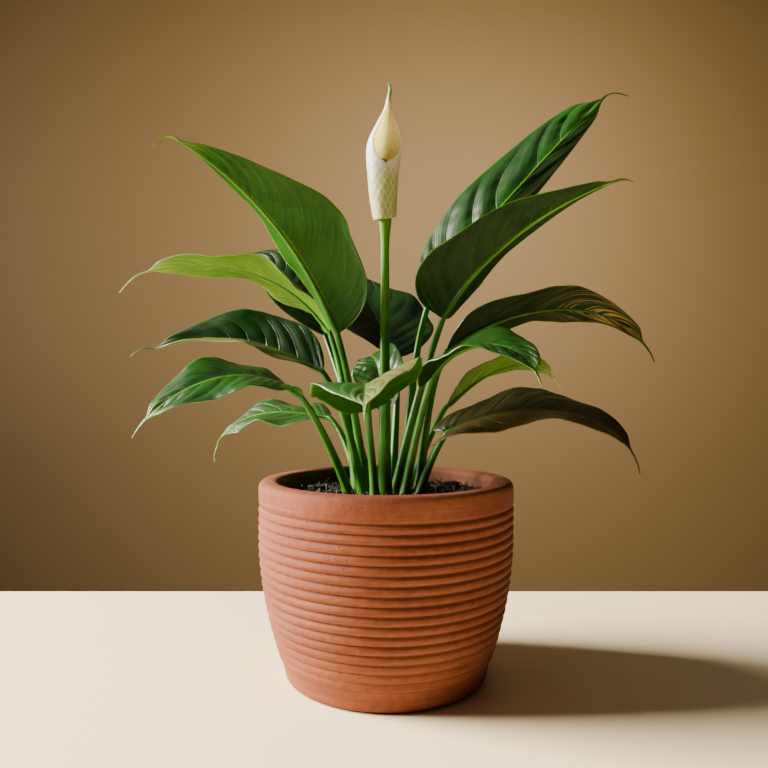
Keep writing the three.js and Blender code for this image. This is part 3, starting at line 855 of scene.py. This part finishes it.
# ---------- potting mix ----------
@dataclass(frozen=True)
class PottingMix:
    """The potting mix: an uneven surface strewn with slivers of bark, and nine larger chips.

    gap is the room to the pot's wall. rings are the places of the surface's rings, as shares of its
    radius. sliver is the range of a sliver's length, width and thickness. standing is the share of
    slivers that stick up, and upright and lying are their tilts in radians.
    """

    radius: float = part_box("soil")[1].x / MM
    top: float = SOIL_TOP
    gap: float = 0.6
    foot: float = 14.0
    rings: tuple[float, ...] = (0.97, 0.93, 0.89, 0.85, 0.8, 0.75, 0.7, 0.65, 0.6, 0.54, 0.48, 0.42, 0.36,
                                0.3, 0.2, 0.1)
    shreds: int = 1100
    sliver: tuple[tuple[float, float], ...] = ((2.2, 8.5), (0.5, 1.7), (0.35, 1.0))
    standing: float = 0.34
    upright: tuple[float, float] = (0.4, 1.2)
    lying: tuple[float, float] = (-0.35, 0.35)
    chips: int = 9
    steps: int = 128
    seed: int = 11

    def height_at(self, x: float, y: float) -> float:
        """Height of the surface at a place, in millimetres."""
        out = math.hypot(x, y) / self.radius
        lumps = noise.noise(Vector((x, y, 3.0)) * 0.11) * 1.3 + noise.noise(Vector((x, y, 9.0)) * 0.33) * 0.9
        return self.top + 0.3 - 0.6 * out**2 + lumps * (1 - 0.5 * smooth(0.85, 1, out))

    def body(self) -> bmesh.types.BMesh:
        """Builds the mass of mix that fills the pot."""
        edge = self.radius - 0.4
        pot = Pot()
        outline = [(0, self.foot), (pot.radius_at(self.foot) - pot.wall - 3, self.foot)]
        outline += [(pot.radius_at(z) - pot.wall - self.gap, z) for z in (20.0, 40.0, 70.0, 85.0)]
        outline += [(edge, 97.0), (edge - 0.3, self.top - 3)]
        outline += [(edge * share, self.top) for share in self.rings]
        outline += [(0, self.top)]
        bm = turned(outline, self.steps)
        for v in bm.verts:
            if v.co.z > (self.top - 0.5) * MM:
                v.co.z = self.height_at(v.co.x / MM, v.co.y / MM) * MM
        return bm

    def shred(self, bm: bmesh.types.BMesh, draw: random.Random, place: Vector, size: Vector,
              tilt: float) -> None:
        """Adds one ragged sliver of bark, pinched at its ends and bent.

        Args:
            bm: The mesh to add to.
            draw: The source of its small differences.
            place: Its middle, in millimetres.
            size: Its length, width and thickness, in millimetres.
            tilt: How far it stands up, in radians.
        """
        made = bmesh.ops.create_icosphere(bm, subdivisions=1, radius=0.5)["verts"]
        bend = draw.uniform(-0.3, 0.3)
        turn = Matrix.Rotation(draw.uniform(0, math.tau), 3, "Z") @ Matrix.Rotation(-tilt, 3, "Y")
        turn = turn @ Matrix.Rotation(draw.uniform(0, math.tau), 3, "X")
        for v in made:
            ragged = draw.uniform(0.6, 1.25)
            flat = Vector((v.co.x * size.x * draw.uniform(0.85, 1.1),
                           v.co.y * size.y * ragged + bend * size.x * v.co.x**2, v.co.z * size.z * ragged))
            v.co = (place + turn @ flat) * MM

    def build(self) -> list[bpy.types.Object]:
        """Builds the mix and its chips."""
        draw = random.Random(self.seed)
        bm = self.body()
        whole = set(bm.faces)
        for _ in range(self.shreds):
            out = self.radius * 0.97 * math.sqrt(draw.random())
            turn = draw.uniform(0, math.tau)
            x, y = out * math.cos(turn), out * math.sin(turn)
            size = Vector([draw.uniform(*reach) for reach in self.sliver])
            tilt = draw.uniform(*(self.upright if draw.random() < self.standing else self.lying))
            inside = max(0.0, self.radius - 1.5 - out)
            size.x = min(size.x, 2.5 + inside * 2)
            lift = 0.35 * size.x * abs(math.sin(tilt)) + 0.25
            self.shred(bm, draw, Vector((x, y, self.height_at(x, y) + lift)), size, tilt)
        for face in bm.faces:
            face.material_index = 0 if face in whole else draw.choice((1, 1, 1, 2))
        finishes = [MixFinish("mix_dark", "0a0706", "1c140f").build(),
                    MixFinish("shred_dark", "080606", "1e1815", rough=0.65).build(),
                    MixFinish("shred_dry", "241e1a", "74665a", rough=0.7).build()]
        pieces = [as_piece(bm, "potting_mix", ["soil"], finishes,
                           ragged=lambda index: index > 0)]
        chips = MixFinish("bark_chip", "120d0a", "40342b", rough=0.7, scale=190.0).build()
        for number in range(1, self.chips + 1):
            pieces.append(self.chip(number, draw, chips))
        return pieces

    def chip(self, number: int, draw: random.Random, finish: bpy.types.Material) -> bpy.types.Object:
        """Builds one chip of bark, split and rough, where its CAD node lies."""
        low, high = (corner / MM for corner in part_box(f"bark_chip_{number}"))
        middle, size = (low + high) / 2, high - low
        bm = bmesh.new()
        bmesh.ops.create_cube(bm, size=1)
        bmesh.ops.subdivide_edges(bm, edges=bm.edges[:], cuts=3, use_grid_fill=True)
        turn = draw.uniform(-0.3, 0.3)
        for v in bm.verts:
            rough = noise.noise(v.co * 3.1 + Vector((number * 5.0, 0, 0)))
            split = noise.noise(Vector((v.co.x * 2, v.co.y * 11, v.co.z * 11 + number)))
            pinch = 1 - 0.9 * v.co.x**2 * (1 if size.x > size.y else 0) - 0.9 * v.co.y**2 * (size.y >= size.x)
            shaped = Vector((v.co.x, v.co.y, v.co.z)) * (0.92 + 0.22 * rough + 0.1 * split)
            shaped.z = shaped.z * pinch - 0.2
            v.co = (middle + Matrix.Rotation(turn, 3, "Z") @ Vector(
                (shaped.x * size.x * 0.95, shaped.y * size.y * 0.95, shaped.z * size.z))) * MM
        return as_piece(bm, f"chip_{number}", [f"bark_chip_{number}"], [finish])


# ---------- leaves ----------
@dataclass(frozen=True)
class Leaf:
    """One leaf: a stalk from the crown and a folded, quilted blade with a drawn-out tip.

    foot is in shares of the crown's radius. The rib's four control points give a height above the mix.
    face_base and face_tip are the ways that the upper side faces. fold and roll bend each half up from
    the midrib. narrow is how much narrower its right half is, or its left half if it is negative.
    awn_mid is measured from where the tip starts, awn_end from the rib's end. hem is how far the edge of
    one half turns under, in radians, and hem_reach is where along the blade. hem_from and awn_from are
    shares across and along the blade. follow is how far the stalk's end turns into line with the blade.
    """

    name: str
    foot: tuple[float, float]
    rib: tuple[Point, Point, Point, Point]
    width: float
    face_base: Point
    face_tip: Point
    fold: float
    roll: float
    wave: float = 0.04
    taper: float = 1.25
    widest: float = 0.36
    lobe: float = 0.0
    narrow: float = 0.0
    veins: int = 11
    quilt: float = 0.55
    awn_mid: Point = (0.0, 0.0, 0.0)
    awn_end: Point = (0.0, 0.0, -3.0)
    upper: Upper = Upper.DEEP
    under: Under = Under.OLIVE
    petiole: Petiole = Petiole.GREEN
    tinge: Tinge | None = None
    hem: float = 0.0
    hem_reach: tuple[float, float] = (0.0, 0.45)

    hem_from = 0.8
    awn_from = 0.94
    awn_rows = 0.86
    awn_half = 0.75
    end_half = 1.6
    follow = 0.45
    stalk_foot = 3.1
    stalk_flare = 0.5
    stalk_top = 1.75
    rib_end = 0.3
    wall = 0.5
    along = 118
    across = 40

    @property
    def seed(self) -> float:
        """A number of the leaf's own for its small differences."""
        return sum(ord(letter) for letter in self.name) * 0.37

    def points(self) -> list[Vector]:
        """The midrib's control points, in millimetres above the floor."""
        return [Vector((x, y, z + SOIL_TOP)) for x, y, z in self.rib]

    def awn_points(self) -> list[Vector]:
        """Control points of the thread-like tip."""
        rib = self.points()
        start = bezier(rib, self.awn_from)
        way = bezier_way(rib, self.awn_from)
        reach = (rib[3] - start).length
        middle = start + (Vector(self.awn_mid) if any(self.awn_mid) else way * reach * 0.9)
        return [start, start + way * reach * 0.4, middle, rib[3] + Vector(self.awn_end)]

    def centre(self, s: float) -> tuple[Vector, Vector]:
        """Point and direction of the midrib, tip and all."""
        if s <= self.awn_from:
            return bezier(self.points(), s), bezier_way(self.points(), s)
        share = (s - self.awn_from) / (1 - self.awn_from)
        return bezier(self.awn_points(), share), bezier_way(self.awn_points(), share)

    def half_at(self, s: float) -> float:
        """Half of the blade's width at share s."""
        rise = self.taper * self.widest / (1 - self.widest)
        shape = (s / self.widest) ** rise * (max(0.0, 1 - s) / (1 - self.widest)) ** self.taper
        thread = lerp(self.awn_half, 0.18, smooth(self.awn_from, 1, s))
        start = self.end_half * (1 - smooth(0, 0.1, s))
        fade = 1 - smooth(self.awn_from - 0.07, self.awn_from + 0.01, s)
        return math.hypot(max(start, self.width / 2 * shape * fade), thread)

    def vein_at(self, s: float, t: float) -> float:
        """Counts side veins; a vein lies where the count is whole."""
        out = abs(t)
        even = self.veins * (s**0.92 - 0.1 * out - 0.13 * out * out)
        return even + 0.22 * math.sin(9 * s + self.seed) + 0.12 * math.sin(23 * s - 3 * out + self.seed * 2)

    def surface(self, s: float, t: float) -> Vector:
        """A point of the upper surface, in millimetres."""
        if s < self.awn_rows:
            s = s / self.awn_rows * self.awn_from
        else:
            s = self.awn_from + (s - self.awn_rows) / (1 - self.awn_rows) * (1 - self.awn_from)
        centre, way = self.centre(s)
        up = squared_to(Vector(self.face_base).lerp(Vector(self.face_tip), s), way)
        right = up.cross(way)
        half = self.half_at(s) * (1 - abs(self.narrow) if t * self.narrow < 0 else 1)
        out, side = abs(t), math.copysign(1, t)
        fold, roll = self.fold, self.roll
        hemmed = self.hem and side * self.hem > 0 and out > self.hem_from
        flat = self.hem_from if hemmed else out
        turn = fold + roll * flat
        radius = half / roll
        aside = radius * (math.sin(turn) - math.sin(fold))
        lift = radius * (math.cos(fold) - math.cos(turn))
        if hemmed:
            low, high = self.hem_reach
            middle, spread = (low + high) / 2, (high - low) / 2
            bend = abs(self.hem) * (1 - smooth(0.35 * spread, spread, abs(s - middle))) + 1e-4
            over = bend * (out - self.hem_from) / (1 - self.hem_from)
            size = half * (1 - self.hem_from) / bend
            along_hem, down = size * math.sin(over), size * (1 - math.cos(over))
            aside += along_hem * math.cos(turn) + down * math.sin(turn)
            lift += along_hem * math.sin(turn) - down * math.cos(turn)
        ripple = self.wave * half * 2 * t * t * math.sin(s * math.pi * 5 + side)
        ripple += self.wave * half * 0.8 * t**4 * noise.noise(Vector((s * 16, side, self.seed)))
        count = self.vein_at(s, t) + (0.4 if t < 0 else 0)
        room = min(1, out * 4) * (1 - out**5) * min(1, half / 8)
        swell = 1 + 0.9 * noise.noise(Vector((math.floor(count) * 1.7, side, self.seed)))
        pillow = self.quilt * room * (swell * abs(math.sin(math.pi * count)) ** 0.8 - 0.5)
        sway = 0.9 * room * noise.noise(Vector((s * 6, t * 1.5, self.seed)))
        sway += 0.45 * self.quilt * room * noise.noise(Vector((s * 17 + t * 3, t * 4, self.seed)))
        back = self.lobe * t * t * (1 - s) ** 4 * min(1, s * 20)
        return centre + right * side * aside - way * back + up * (lift + ripple + pillow + sway)

    def blade(self, finishes: dict[Enum, bpy.types.Material]) -> bpy.types.Object:
        """Builds the blade with its two sides."""
        bm = sheet(self.along, self.across, self.surface)
        place = bm.loops.layers.uv["place"]
        vein = bm.loops.layers.uv.new("vein")
        for face in bm.faces:
            middle = sum(loop[place].uv.y for loop in face.loops) / len(face.loops)
            shift = 0.4 if middle < 0.5 else 0.0
            for loop in face.loops:
                s, v = loop[place].uv
                s = min(s / self.awn_rows * self.awn_from, 1.0)
                loop[vein].uv = (self.vein_at(s, 2 * v - 1) + shift, s)
        upper = finishes[self.upper]
        if self.tinge:
            own_name = f"{self.upper.value.name}_{self.name}"
            upper = replace(self.upper.value, name=own_name, tinge=self.tinge).build()
        sides = [upper, finishes[self.under]]
        piece = as_piece(bm, f"{self.name}_leaf", [f"{self.name}_blade"], sides)
        thicken(piece, self.wall)
        return piece

    def stalk_points(self) -> list[Vector]:
        """Control points of the stalk, from the crown to the blade."""
        rib = self.points()
        start = Vector((self.foot[0] * CROWN_RADIUS, self.foot[1] * CROWN_RADIUS, CROWN_TOP))
        way = (rib[1] - rib[0]).normalized()
        length = (rib[0] - start).length
        straight = (rib[0] - start) / length
        low = start + straight * length * 0.28 + Vector((0, 0, length * 0.08))
        last = straight.lerp(way, self.follow).normalized()
        return [start, low, rib[0] - last * length * 0.3, rib[0]]

    def stalk(self, finish: bpy.types.Material) -> bpy.types.Object:
        """Builds the stalk, which runs on under the blade as its raised midrib."""
        lower, turn_at = self.stalk_points(), 0.5

        def line(s: float) -> tuple[Vector, Vector, Vector, float]:
            """Centre, direction, upper side and radius at share s."""
            if s < turn_at:
                share = s / turn_at
                way = bezier_way(lower, share)
                size = lerp(self.stalk_foot, self.stalk_top, share**0.7)
                size += self.stalk_flare * (1 - smooth(0, 0.16, share))
                return bezier(lower, share), way, squared_to(Vector(self.face_base), way), size
            share = (s - turn_at) / (1 - turn_at)
            centre, way = self.centre(share * self.awn_from)
            up = squared_to(Vector(self.face_base).lerp(Vector(self.face_tip), share), way)
            size = lerp(self.stalk_top, self.rib_end, share**0.62)
            return centre - up * (size * 0.55 + 0.2) * smooth(0, 0.08, share), way, up, size

        def place(s: float, angle: float) -> Vector:
            """A point of the stalk's skin."""
            centre, way, up, size = line(s)
            right = up.cross(way)
            groove = math.exp(-(((angle - math.pi / 2) / 0.5) ** 2))
            ridge = 0.03 * math.cos(7 * angle)
            wing = 0.14 * (1 - smooth(0.02, 0.2, s)) * abs(math.cos(angle)) ** 3
            size *= 1 - 0.24 * groove * smooth(0.02, 0.1, s) * (1 - smooth(0.5, 0.56, s)) + ridge + wing
            return centre + right * math.cos(angle) * size + up * math.sin(angle) * size

        bm = tube(20, 90, place)
        return as_piece(bm, f"{self.name}_stalk_and_rib", [f"{self.name}_stalk"], [finish])


LEAVES = [
    Leaf("left_tall", (-0.38, 0.0), ((-28, -15, 94), (-45, -22, 139), (-75, -38, 177), (-118, -52, 198)),
         72, (0.62, 0.68, 0.4), (0.2, 0.5, 0.85), 0.72, -0.3, wave=0.03, taper=1.6, widest=0.27, veins=13,
         awn_mid=(-6, 0, 3), awn_end=(-4.5, 0, -8), hem=1.7, hem_reach=(-0.1, 0.42), under=Under.LEAFY),
    Leaf("left_high", (-0.59, 0.31), ((-36, 34, 98), (-58, 42, 134), (-108, 50, 155), (-171, 54, 137)),
         48, (0.2, 0.3, 0.9), (0, 0.3, 0.95), 0.2, -0.3, taper=1.0, wave=0.07, awn_mid=(-8, 0, -2),
         awn_end=(-7, 0, -11), upper=Upper.FRESH, under=Under.LIME),
    Leaf("back_left_high", (-0.31, 0.43), ((-42, 72, 99), (-61, 84, 140), (-87, 98, 166), (-116, 110, 152)),
         46, (0.3, -0.8, 0.4), (0, -0.7, 0.7), 0.2, -0.2, wave=0.03, quilt=0.9, upper=Upper.DEEP),
    Leaf("left_middle", (-0.41, -0.4), ((-37, -9, 72), (-66, 2, 89), (-100, 4, 102), (-145, 0, 83)),
         43, (0.2, -0.6, 0.75), (-0.2, -0.6, 0.8), 0.7, -0.3, quilt=0.8, veins=9, awn_mid=(-6, 0, 4),
         awn_end=(-7, 0, -1.5), upper=Upper.DEEP, under=Under.OLIVE,
         tinge=Tinge("7a7a40", 1, end=0.9, share=0.7)),
    Leaf("left_low", (-0.71, -0.14), ((-47, -32, 58), (-66, -42, 77), (-103, -58, 74), (-126, -70, 41)),
         50, (0.3, 0.1, 0.9), (-0.6, -0.9, 0.4), 0.2, -0.3, wave=0.05, awn_end=(-1, 0, -3),
         upper=Upper.FRESH, under=Under.LEAFY, tinge=Tinge("4c6a10", end=0.3)),
    Leaf("back_left_low", (-0.52, 0.64), ((-37, 45, 43), (-60, 58, 47), (-112, 74, 54), (-123, 88, 12)),
         44, (0, -0.15, 0.95), (-0.6, -0.3, 0.6), 0.12, -0.2, wave=0.07, awn_end=(1, 0, -3),
         upper=Upper.MISTY, under=Under.LIME, tinge=Tinge("7c9c2c", start=0.65)),
    Leaf("front", (-0.21, -0.79), ((-10, -26, 50), (-8, -48, 68), (-10, -85, 72), (-10, -112, 52)),
         62, (-0.25, 0.1, 1), (-0.2, -0.5, 0.8), 0.3, -0.25, lobe=6, awn_end=(0, -3, -3),
         upper=Upper.MISTY, under=Under.LEAFY, tinge=Tinge("6c6438", 1, share=0.7)),
    Leaf("centre_small", (-0.03, 0.16), ((0, 6, 48), (-3, 9, 78), (-9, 24, 90), (-12, 46, 78)),
         34, (-0.4, -0.9, 0.2), (-0.3, 0, 0.9), 0.3, -0.2, wave=0.03, upper=Upper.FRESH),
    # Painted shade: the tinge darkens one half of this leaf's upper side to near-black olive.
    Leaf("back_high", (0.14, 0.59), ((6, 48, 82), (-2, 68, 104), (-15, 94, 130), (-30, 116, 149)),
         76, (0.4, -0.7, 0.5), (0.3, -0.7, 0.6), 0.4, -0.3, wave=0.03, quilt=0.7, veins=9, upper=Upper.DEEP,
         tinge=Tinge("241e08", 1, share=0.9)),
    Leaf("right_tall", (0.33, 0.16), ((27, 14, 117), (46, 18, 148), (100, 24, 210), (147, 30, 255)),
         68, (0.1, -0.92, 0.35), (0.2, -0.85, 0.45), -0.4, -0.3, wave=0.03, narrow=0.6, taper=0.8,
         widest=0.42, veins=8, quilt=2.1, awn_mid=(8, 0, 4), awn_end=(7, 0, -7), upper=Upper.DEEP),
    Leaf("right_high", (0.16, -0.12), ((33, -12, 103), (47, -15, 132), (89, -28, 167), (132, -42, 177)),
         54, (-0.45, 0.8, 0.5), (-0.2, 0.7, 0.7), 0.6, -0.25, narrow=-0.45, taper=1.35, widest=0.2,
         awn_mid=(6, 0, 1), awn_end=(1, 0, -3), upper=Upper.FRESH, under=Under.OLIVE),
    Leaf("right_middle", (0.66, 0.31), ((37, 12, 85), (66, 16, 111), (140, 22, 131), (168, 26, 82)),
         52, (-0.2, 0.4, 0.9), (0.3, 0.3, 0.9), 0.25, -0.3, awn_end=(1, 0, -3), upper=Upper.DEEP,
         under=Under.KHAKI, petiole=Petiole.SHADED),
    Leaf("right_front", (0.33, -0.53), ((26, -24, 69), (36, -36, 91), (70, -60, 93), (75, -80, 66)),
         46, (-0.2, -0.2, 0.9), (0.2, -0.5, 0.8), 0.3, -0.3, lobe=12, awn_end=(1, 0, -3), upper=Upper.FRESH),
    Leaf("back_right_low", (0.48, 0.67), ((38, 32, 50), (55, 46, 65), (93, 76, 96), (128, 104, 65)),
         44, (-0.2, 0.5, 0.85), (0.1, 0.5, 0.85), 0.3, -0.25, awn_end=(1, 0, -3), under=Under.LIME),
    Leaf("right_low", (0.62, -0.24), ((35, -14, 37), (50, -20, 49), (122, -36, 67), (135, -44, 21)),
         54, (-0.1, -0.3, 0.95), (0.3, -0.4, 0.85), 0.25, -0.3, lobe=16, awn_end=(1, 0, -4), upper=Upper.DUSK,
         under=Under.KHAKI, petiole=Petiole.SHADED, tinge=Tinge("5a5020", -1, share=0.8)),
]


# ---------- flower ----------
@dataclass(frozen=True)
class Flower:
    """The flower: a scape, a rolled bract open above, and a beaded spadix inside it.

    girth, lean, wrap_left and wrap_right run up the bract: its radius, how far its middle leans aside, and
    how far each half wraps round from the back, in radians.
    """

    foot: Point = (-0.6, -6.0, 162.0)
    length: float = 79.5
    scape_foot: tuple[float, float] = (-0.03, -0.45)
    scape_radii: tuple[float, float] = (5.0, 2.3)
    scape_collar: float = 1.5
    wall: float = 0.7
    girth: Knots = ((0, 6.5), (0.06, 7.2), (0.16, 8.1), (0.25, 8.7), (0.34, 9.0), (0.43, 10.0), (0.52, 10.4),
                    (0.61, 8.8), (0.705, 5.7), (0.815, 2.3), (0.906, 1.2), (1, 0.5))
    lean: Knots = ((0, 0.0), (0.16, -0.8), (0.34, -0.9), (0.52, -0.2), (0.7, 1.0), (0.86, 2.2), (0.95, 3.0),
                   (1, 2.4))
    wrap_left: Knots = ((0, 3.5), (0.34, 3.4), (0.385, 3.2), (0.41, 2.95), (0.45, 2.7), (0.51, 2.55),
                        (0.6, 2.55), (0.7, 2.65), (0.8, 2.85), (0.87, 3.05), (1, 3.1))
    wrap_right: Knots = ((0, 3.5), (0.34, 3.4), (0.385, 3.05), (0.41, 2.65), (0.45, 2.25), (0.51, 2.02),
                         (0.6, 1.95), (0.7, 2.1), (0.8, 2.6), (0.87, 2.95), (1, 3.1))
    net_turns: float = 14.0
    net_rows: float = 12.0
    net_depth: float = 0.15
    beads_round: int = 22
    beads_up: int = 54
    bead: float = 0.6
    spadix_swell: float = 0.8
    spadix_drop: float = 9.0
    spadix_back: float = 3.0

    def turn_at(self, s: float, t: float) -> float:
        """How far round the bract a point lies, in radians from the middle of its back."""
        return t * through(self.wrap_left if t < 0 else self.wrap_right, s)

    def bract(self, s: float, t: float) -> Vector:
        """A point of the bract's outer surface."""
        x, y, z = self.foot
        angle = self.turn_at(s, t)
        spread = smooth(0.42, 0.6, s) * (1 - smooth(0.72, 0.88, s))
        size = through(self.girth, s) * (1 - 0.06 * t)
        fold_back = spread * (smooth(0.8, 1.0, -t) * 1.2 + smooth(0.86, 1.0, t) * 0.8)
        net = 0.0
        for way in (1, -1):
            value = self.net_turns * angle / math.tau + way * self.net_rows * s
            net = max(net, 1 - min(1, abs(value - round(value)) / 0.12))
        size += fold_back + self.net_depth * net * (1 - smooth(0.36, 0.44, s))
        dent = noise.noise(Vector((math.sin(angle) * 2, math.cos(angle) * 2, s * 7))) * 0.3
        cut = -1.6 * (1 - smooth(0, 0.12, s)) * math.cos(angle - 3.7)
        return Vector((x + through(self.lean, s) + (size + dent) * math.sin(angle),
                       y + (size + dent) * 0.92 * math.cos(angle), SOIL_TOP + z + self.length * s + cut))

    def build(self, stalk: bpy.types.Material) -> list[bpy.types.Object]:
        """Builds the flower's three pieces."""
        bm = sheet(110, 120, self.bract)
        place = bm.loops.layers.uv["place"]
        turns = bm.loops.layers.uv.new("wrap")
        for face in bm.faces:
            for loop in face.loops:
                s, v = loop[place].uv
                loop[turns].uv = (self.turn_at(s, 2 * v - 1) / math.tau, s)
        outer = SpatheFinish("spathe_outer", "a4b850", "fff4e4", "e8b49c", "f4f0d0", "5c8a10").build()
        inner = SpatheFinish("spathe_inner", "dca83c", "fae094", "e8b858", "7c5210", "7c9c24", netted=False,
                             stipple=0.85).build()
        bract = as_piece(bm, "rolled_spathe", ["spathe"], [outer, inner])
        thicken(bract, self.wall)
        return [bract, self.scape(stalk), self.spadix()]

    def scape(self, finish: bpy.types.Material) -> bpy.types.Object:
        """Builds the flower's stalk, flared under the bract."""
        foot = Vector((self.scape_foot[0] * CROWN_RADIUS, self.scape_foot[1] * CROWN_RADIUS, CROWN_TOP))
        top = Vector(self.foot) + Vector((0, 0, SOIL_TOP + 1.5))
        points = [foot, Vector((foot.x, foot.y + 1, CROWN_TOP + 60)), top - Vector((0, 1, 60)), top]

        def place(s: float, angle: float) -> Vector:
            """A point of the stalk's skin."""
            size = lerp(*self.scape_radii, s**0.4) + self.scape_collar * smooth(0.86, 1, s) ** 2
            size += 0.3 * (1 - smooth(0, 0.1, s))
            size *= 1 + 0.02 * math.cos(5 * angle) + 0.02 * noise.noise(Vector((s * 9, angle, 0)))
            return bezier(points, s) + Vector((math.cos(angle), math.sin(angle), 0)) * size

        return as_piece(tube(28, 80, place), "flower_scape", ["flower_stalk"], [finish])

    def spadix(self) -> bpy.types.Object:
        """Builds the spadix: a tapered core set with beads in spirals."""
        low, high = (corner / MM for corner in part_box("spadix"))
        middle = (low + high) / 2
        core = (high.x - low.x) / 2 * self.spadix_swell
        length = high.z - low.z - self.spadix_drop

        def size_at(s: float) -> float:
            """Radius of the core."""
            return core * (1 - 0.2 * s) * math.sqrt(max(0.02, 1 - (max(0, s - 0.8) / 0.21) ** 2))

        def place(s: float, angle: float) -> Vector:
            """A point of the core."""
            return Vector((middle.x + size_at(s) * math.cos(angle),
                           middle.y + self.spadix_back + size_at(s) * math.sin(angle), low.z + length * s))

        bm = tube(20, 24, place)
        for row in range(self.beads_up):
            s = 0.03 + 0.94 * row / (self.beads_up - 1)
            for k in range(self.beads_round):
                angle = math.tau * (k + 0.5 * (row % 2)) / self.beads_round
                ball = bmesh.ops.create_icosphere(bm, subdivisions=1, radius=self.bead * MM)["verts"]
                bmesh.ops.translate(bm, verts=ball, vec=place(s, angle) * MM)
        beads = SpatheFinish("spadix_beads", "fce078", "fff0a0", "f8d470", "d0983c", "f8e8a0", netted=False,
                             stipple=0.25).build()
        bm.loops.layers.uv.new("wrap")
        return as_piece(bm, "beaded_spadix", ["spadix"], [beads])


# ---------- hidden pieces, stage ----------
def dress_hidden() -> None:
    """Gives the crock and the root crown, which stay as the frame has them, their finishes."""
    finishes = {"drain_crock": bpy.data.materials["terracotta"],
                "root_crown": MixFinish("crown_roots", "4a4224", "8a7d4a", scale=120.0).build()}
    for name, finish in finishes.items():
        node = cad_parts[name]
        node.data.materials.clear()
        node.data.materials.append(finish)
        log.info("%s: CAD node dressed", name)


def plain(name: str, code: str, rough: float) -> bpy.types.Material:
    """Builds a plain material for the stage."""
    material, wire = blank(name)
    return dressed(name, wire, material, code, rough)


@dataclass(frozen=True)
class Lamp:
    """A soft square light: its place and what it faces in metres, and its spread in degrees."""

    name: str
    place: Point
    target: Point
    size: float
    power: float
    tint: Point
    spread: float = 180.0

    def build(self) -> None:
        """Hangs the light."""
        lamp = bpy.data.lights.new(self.name, "AREA")
        lamp.energy, lamp.size, lamp.color = self.power, self.size, self.tint
        lamp.spread = math.radians(self.spread)
        holder = bpy.data.objects.new(self.name, lamp)
        holder.location = self.place
        way = Vector(self.target) - holder.location
        holder.rotation_euler = way.to_track_quat("-Z", "Y").to_euler()
        bpy.context.scene.collection.objects.link(holder)


@dataclass(frozen=True)
class Stage:
    """The pale floor, the backdrop, the lights and the camera, in metres."""

    floor_half: float = 1.4
    floor_end: float = 0.17
    backdrop_half: float = 3.0
    backdrop_at: float = 1.3
    backdrop_heights: tuple[float, float] = (-1.2, 2.2)
    room_tint: tuple[float, float, float, float] = (0.9, 0.8, 0.68, 1)
    room_light: float = 0.022
    eye: Point = (-0.0012, -0.440, 0.171)
    lens: float = 34.69
    lamps: tuple[Lamp, ...] = (
        Lamp("window", (-2.3, 0.16, 1.15), (0, -0.3, 0.16), 1.2, 135.0, (1.0, 0.9, 0.77), spread=90),
        Lamp("sky", (0.1, 0.1, 1.6), (0, 0, 0.16), 1.3, 1.6, (1.0, 0.93, 0.84)),
        Lamp("backdrop_glow", (0.2, 0.6, 0.6), (0.1, 1.3, 0.3), 0.8, 17.0, (1.0, 0.93, 0.8)),
    )

    def surface(self, name: str, code: str, corners: Sequence[Point]) -> None:
        """Lays one flat surface of the stage.

        Args:
            name: Its name.
            code: Its colour.
            corners: Its four corners.
        """
        bm = bmesh.new()
        bm.faces.new([bm.verts.new(corner) for corner in corners])
        mesh = bpy.data.meshes.new(name)
        bm.to_mesh(mesh)
        bm.free()
        mesh.materials.append(plain(name, code, 0.7))
        surface = bpy.data.objects.new(name, mesh)
        bpy.context.scene.collection.objects.link(surface)

    def build(self) -> None:
        """Sets the whole stage."""
        side, end = self.floor_half, self.floor_end
        wide, back, (low, high) = self.backdrop_half, self.backdrop_at, self.backdrop_heights
        self.surface("table_top", "fcecc4",
                     [(-side, -side, 0), (side, -side, 0), (side, end, 0), (-side, end, 0)])
        self.surface("backdrop", "6a522c",
                     [(-wide, back, low), (wide, back, low), (wide, back, high), (-wide, back, high)])
        for lamp in self.lamps:
            lamp.build()
        world = bpy.data.worlds.new("room")
        world.use_nodes = True
        world.node_tree.nodes["Background"].inputs[0].default_value = self.room_tint
        world.node_tree.nodes["Background"].inputs[1].default_value = self.room_light
        bpy.context.scene.world = world
        camera = bpy.data.cameras.new("camera")
        camera.lens, camera.sensor_width = self.lens, 36.0
        holder = bpy.data.objects.new("camera", camera)
        holder.location = self.eye
        holder.rotation_euler = (math.pi / 2, 0, 0)
        bpy.context.scene.collection.objects.link(holder)
        bpy.context.scene.camera = holder


def main() -> None:
    """Builds every piece of the plant and its stage."""
    Pot().build()
    PottingMix().build()
    finishes = {tone: tone.value.build() for kind in (Upper, Under) for tone in kind}
    petioles = {tone: tone.value.build() for tone in Petiole}
    for leaf in LEAVES:
        leaf.blade(finishes)
        leaf.stalk(petioles[leaf.petiole])
    Flower().build(petioles[Petiole.GREEN])
    dress_hidden()
    Stage().build()
    bpy.context.view_layer.update()
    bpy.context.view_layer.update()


if __name__ == "__main__":
    main()
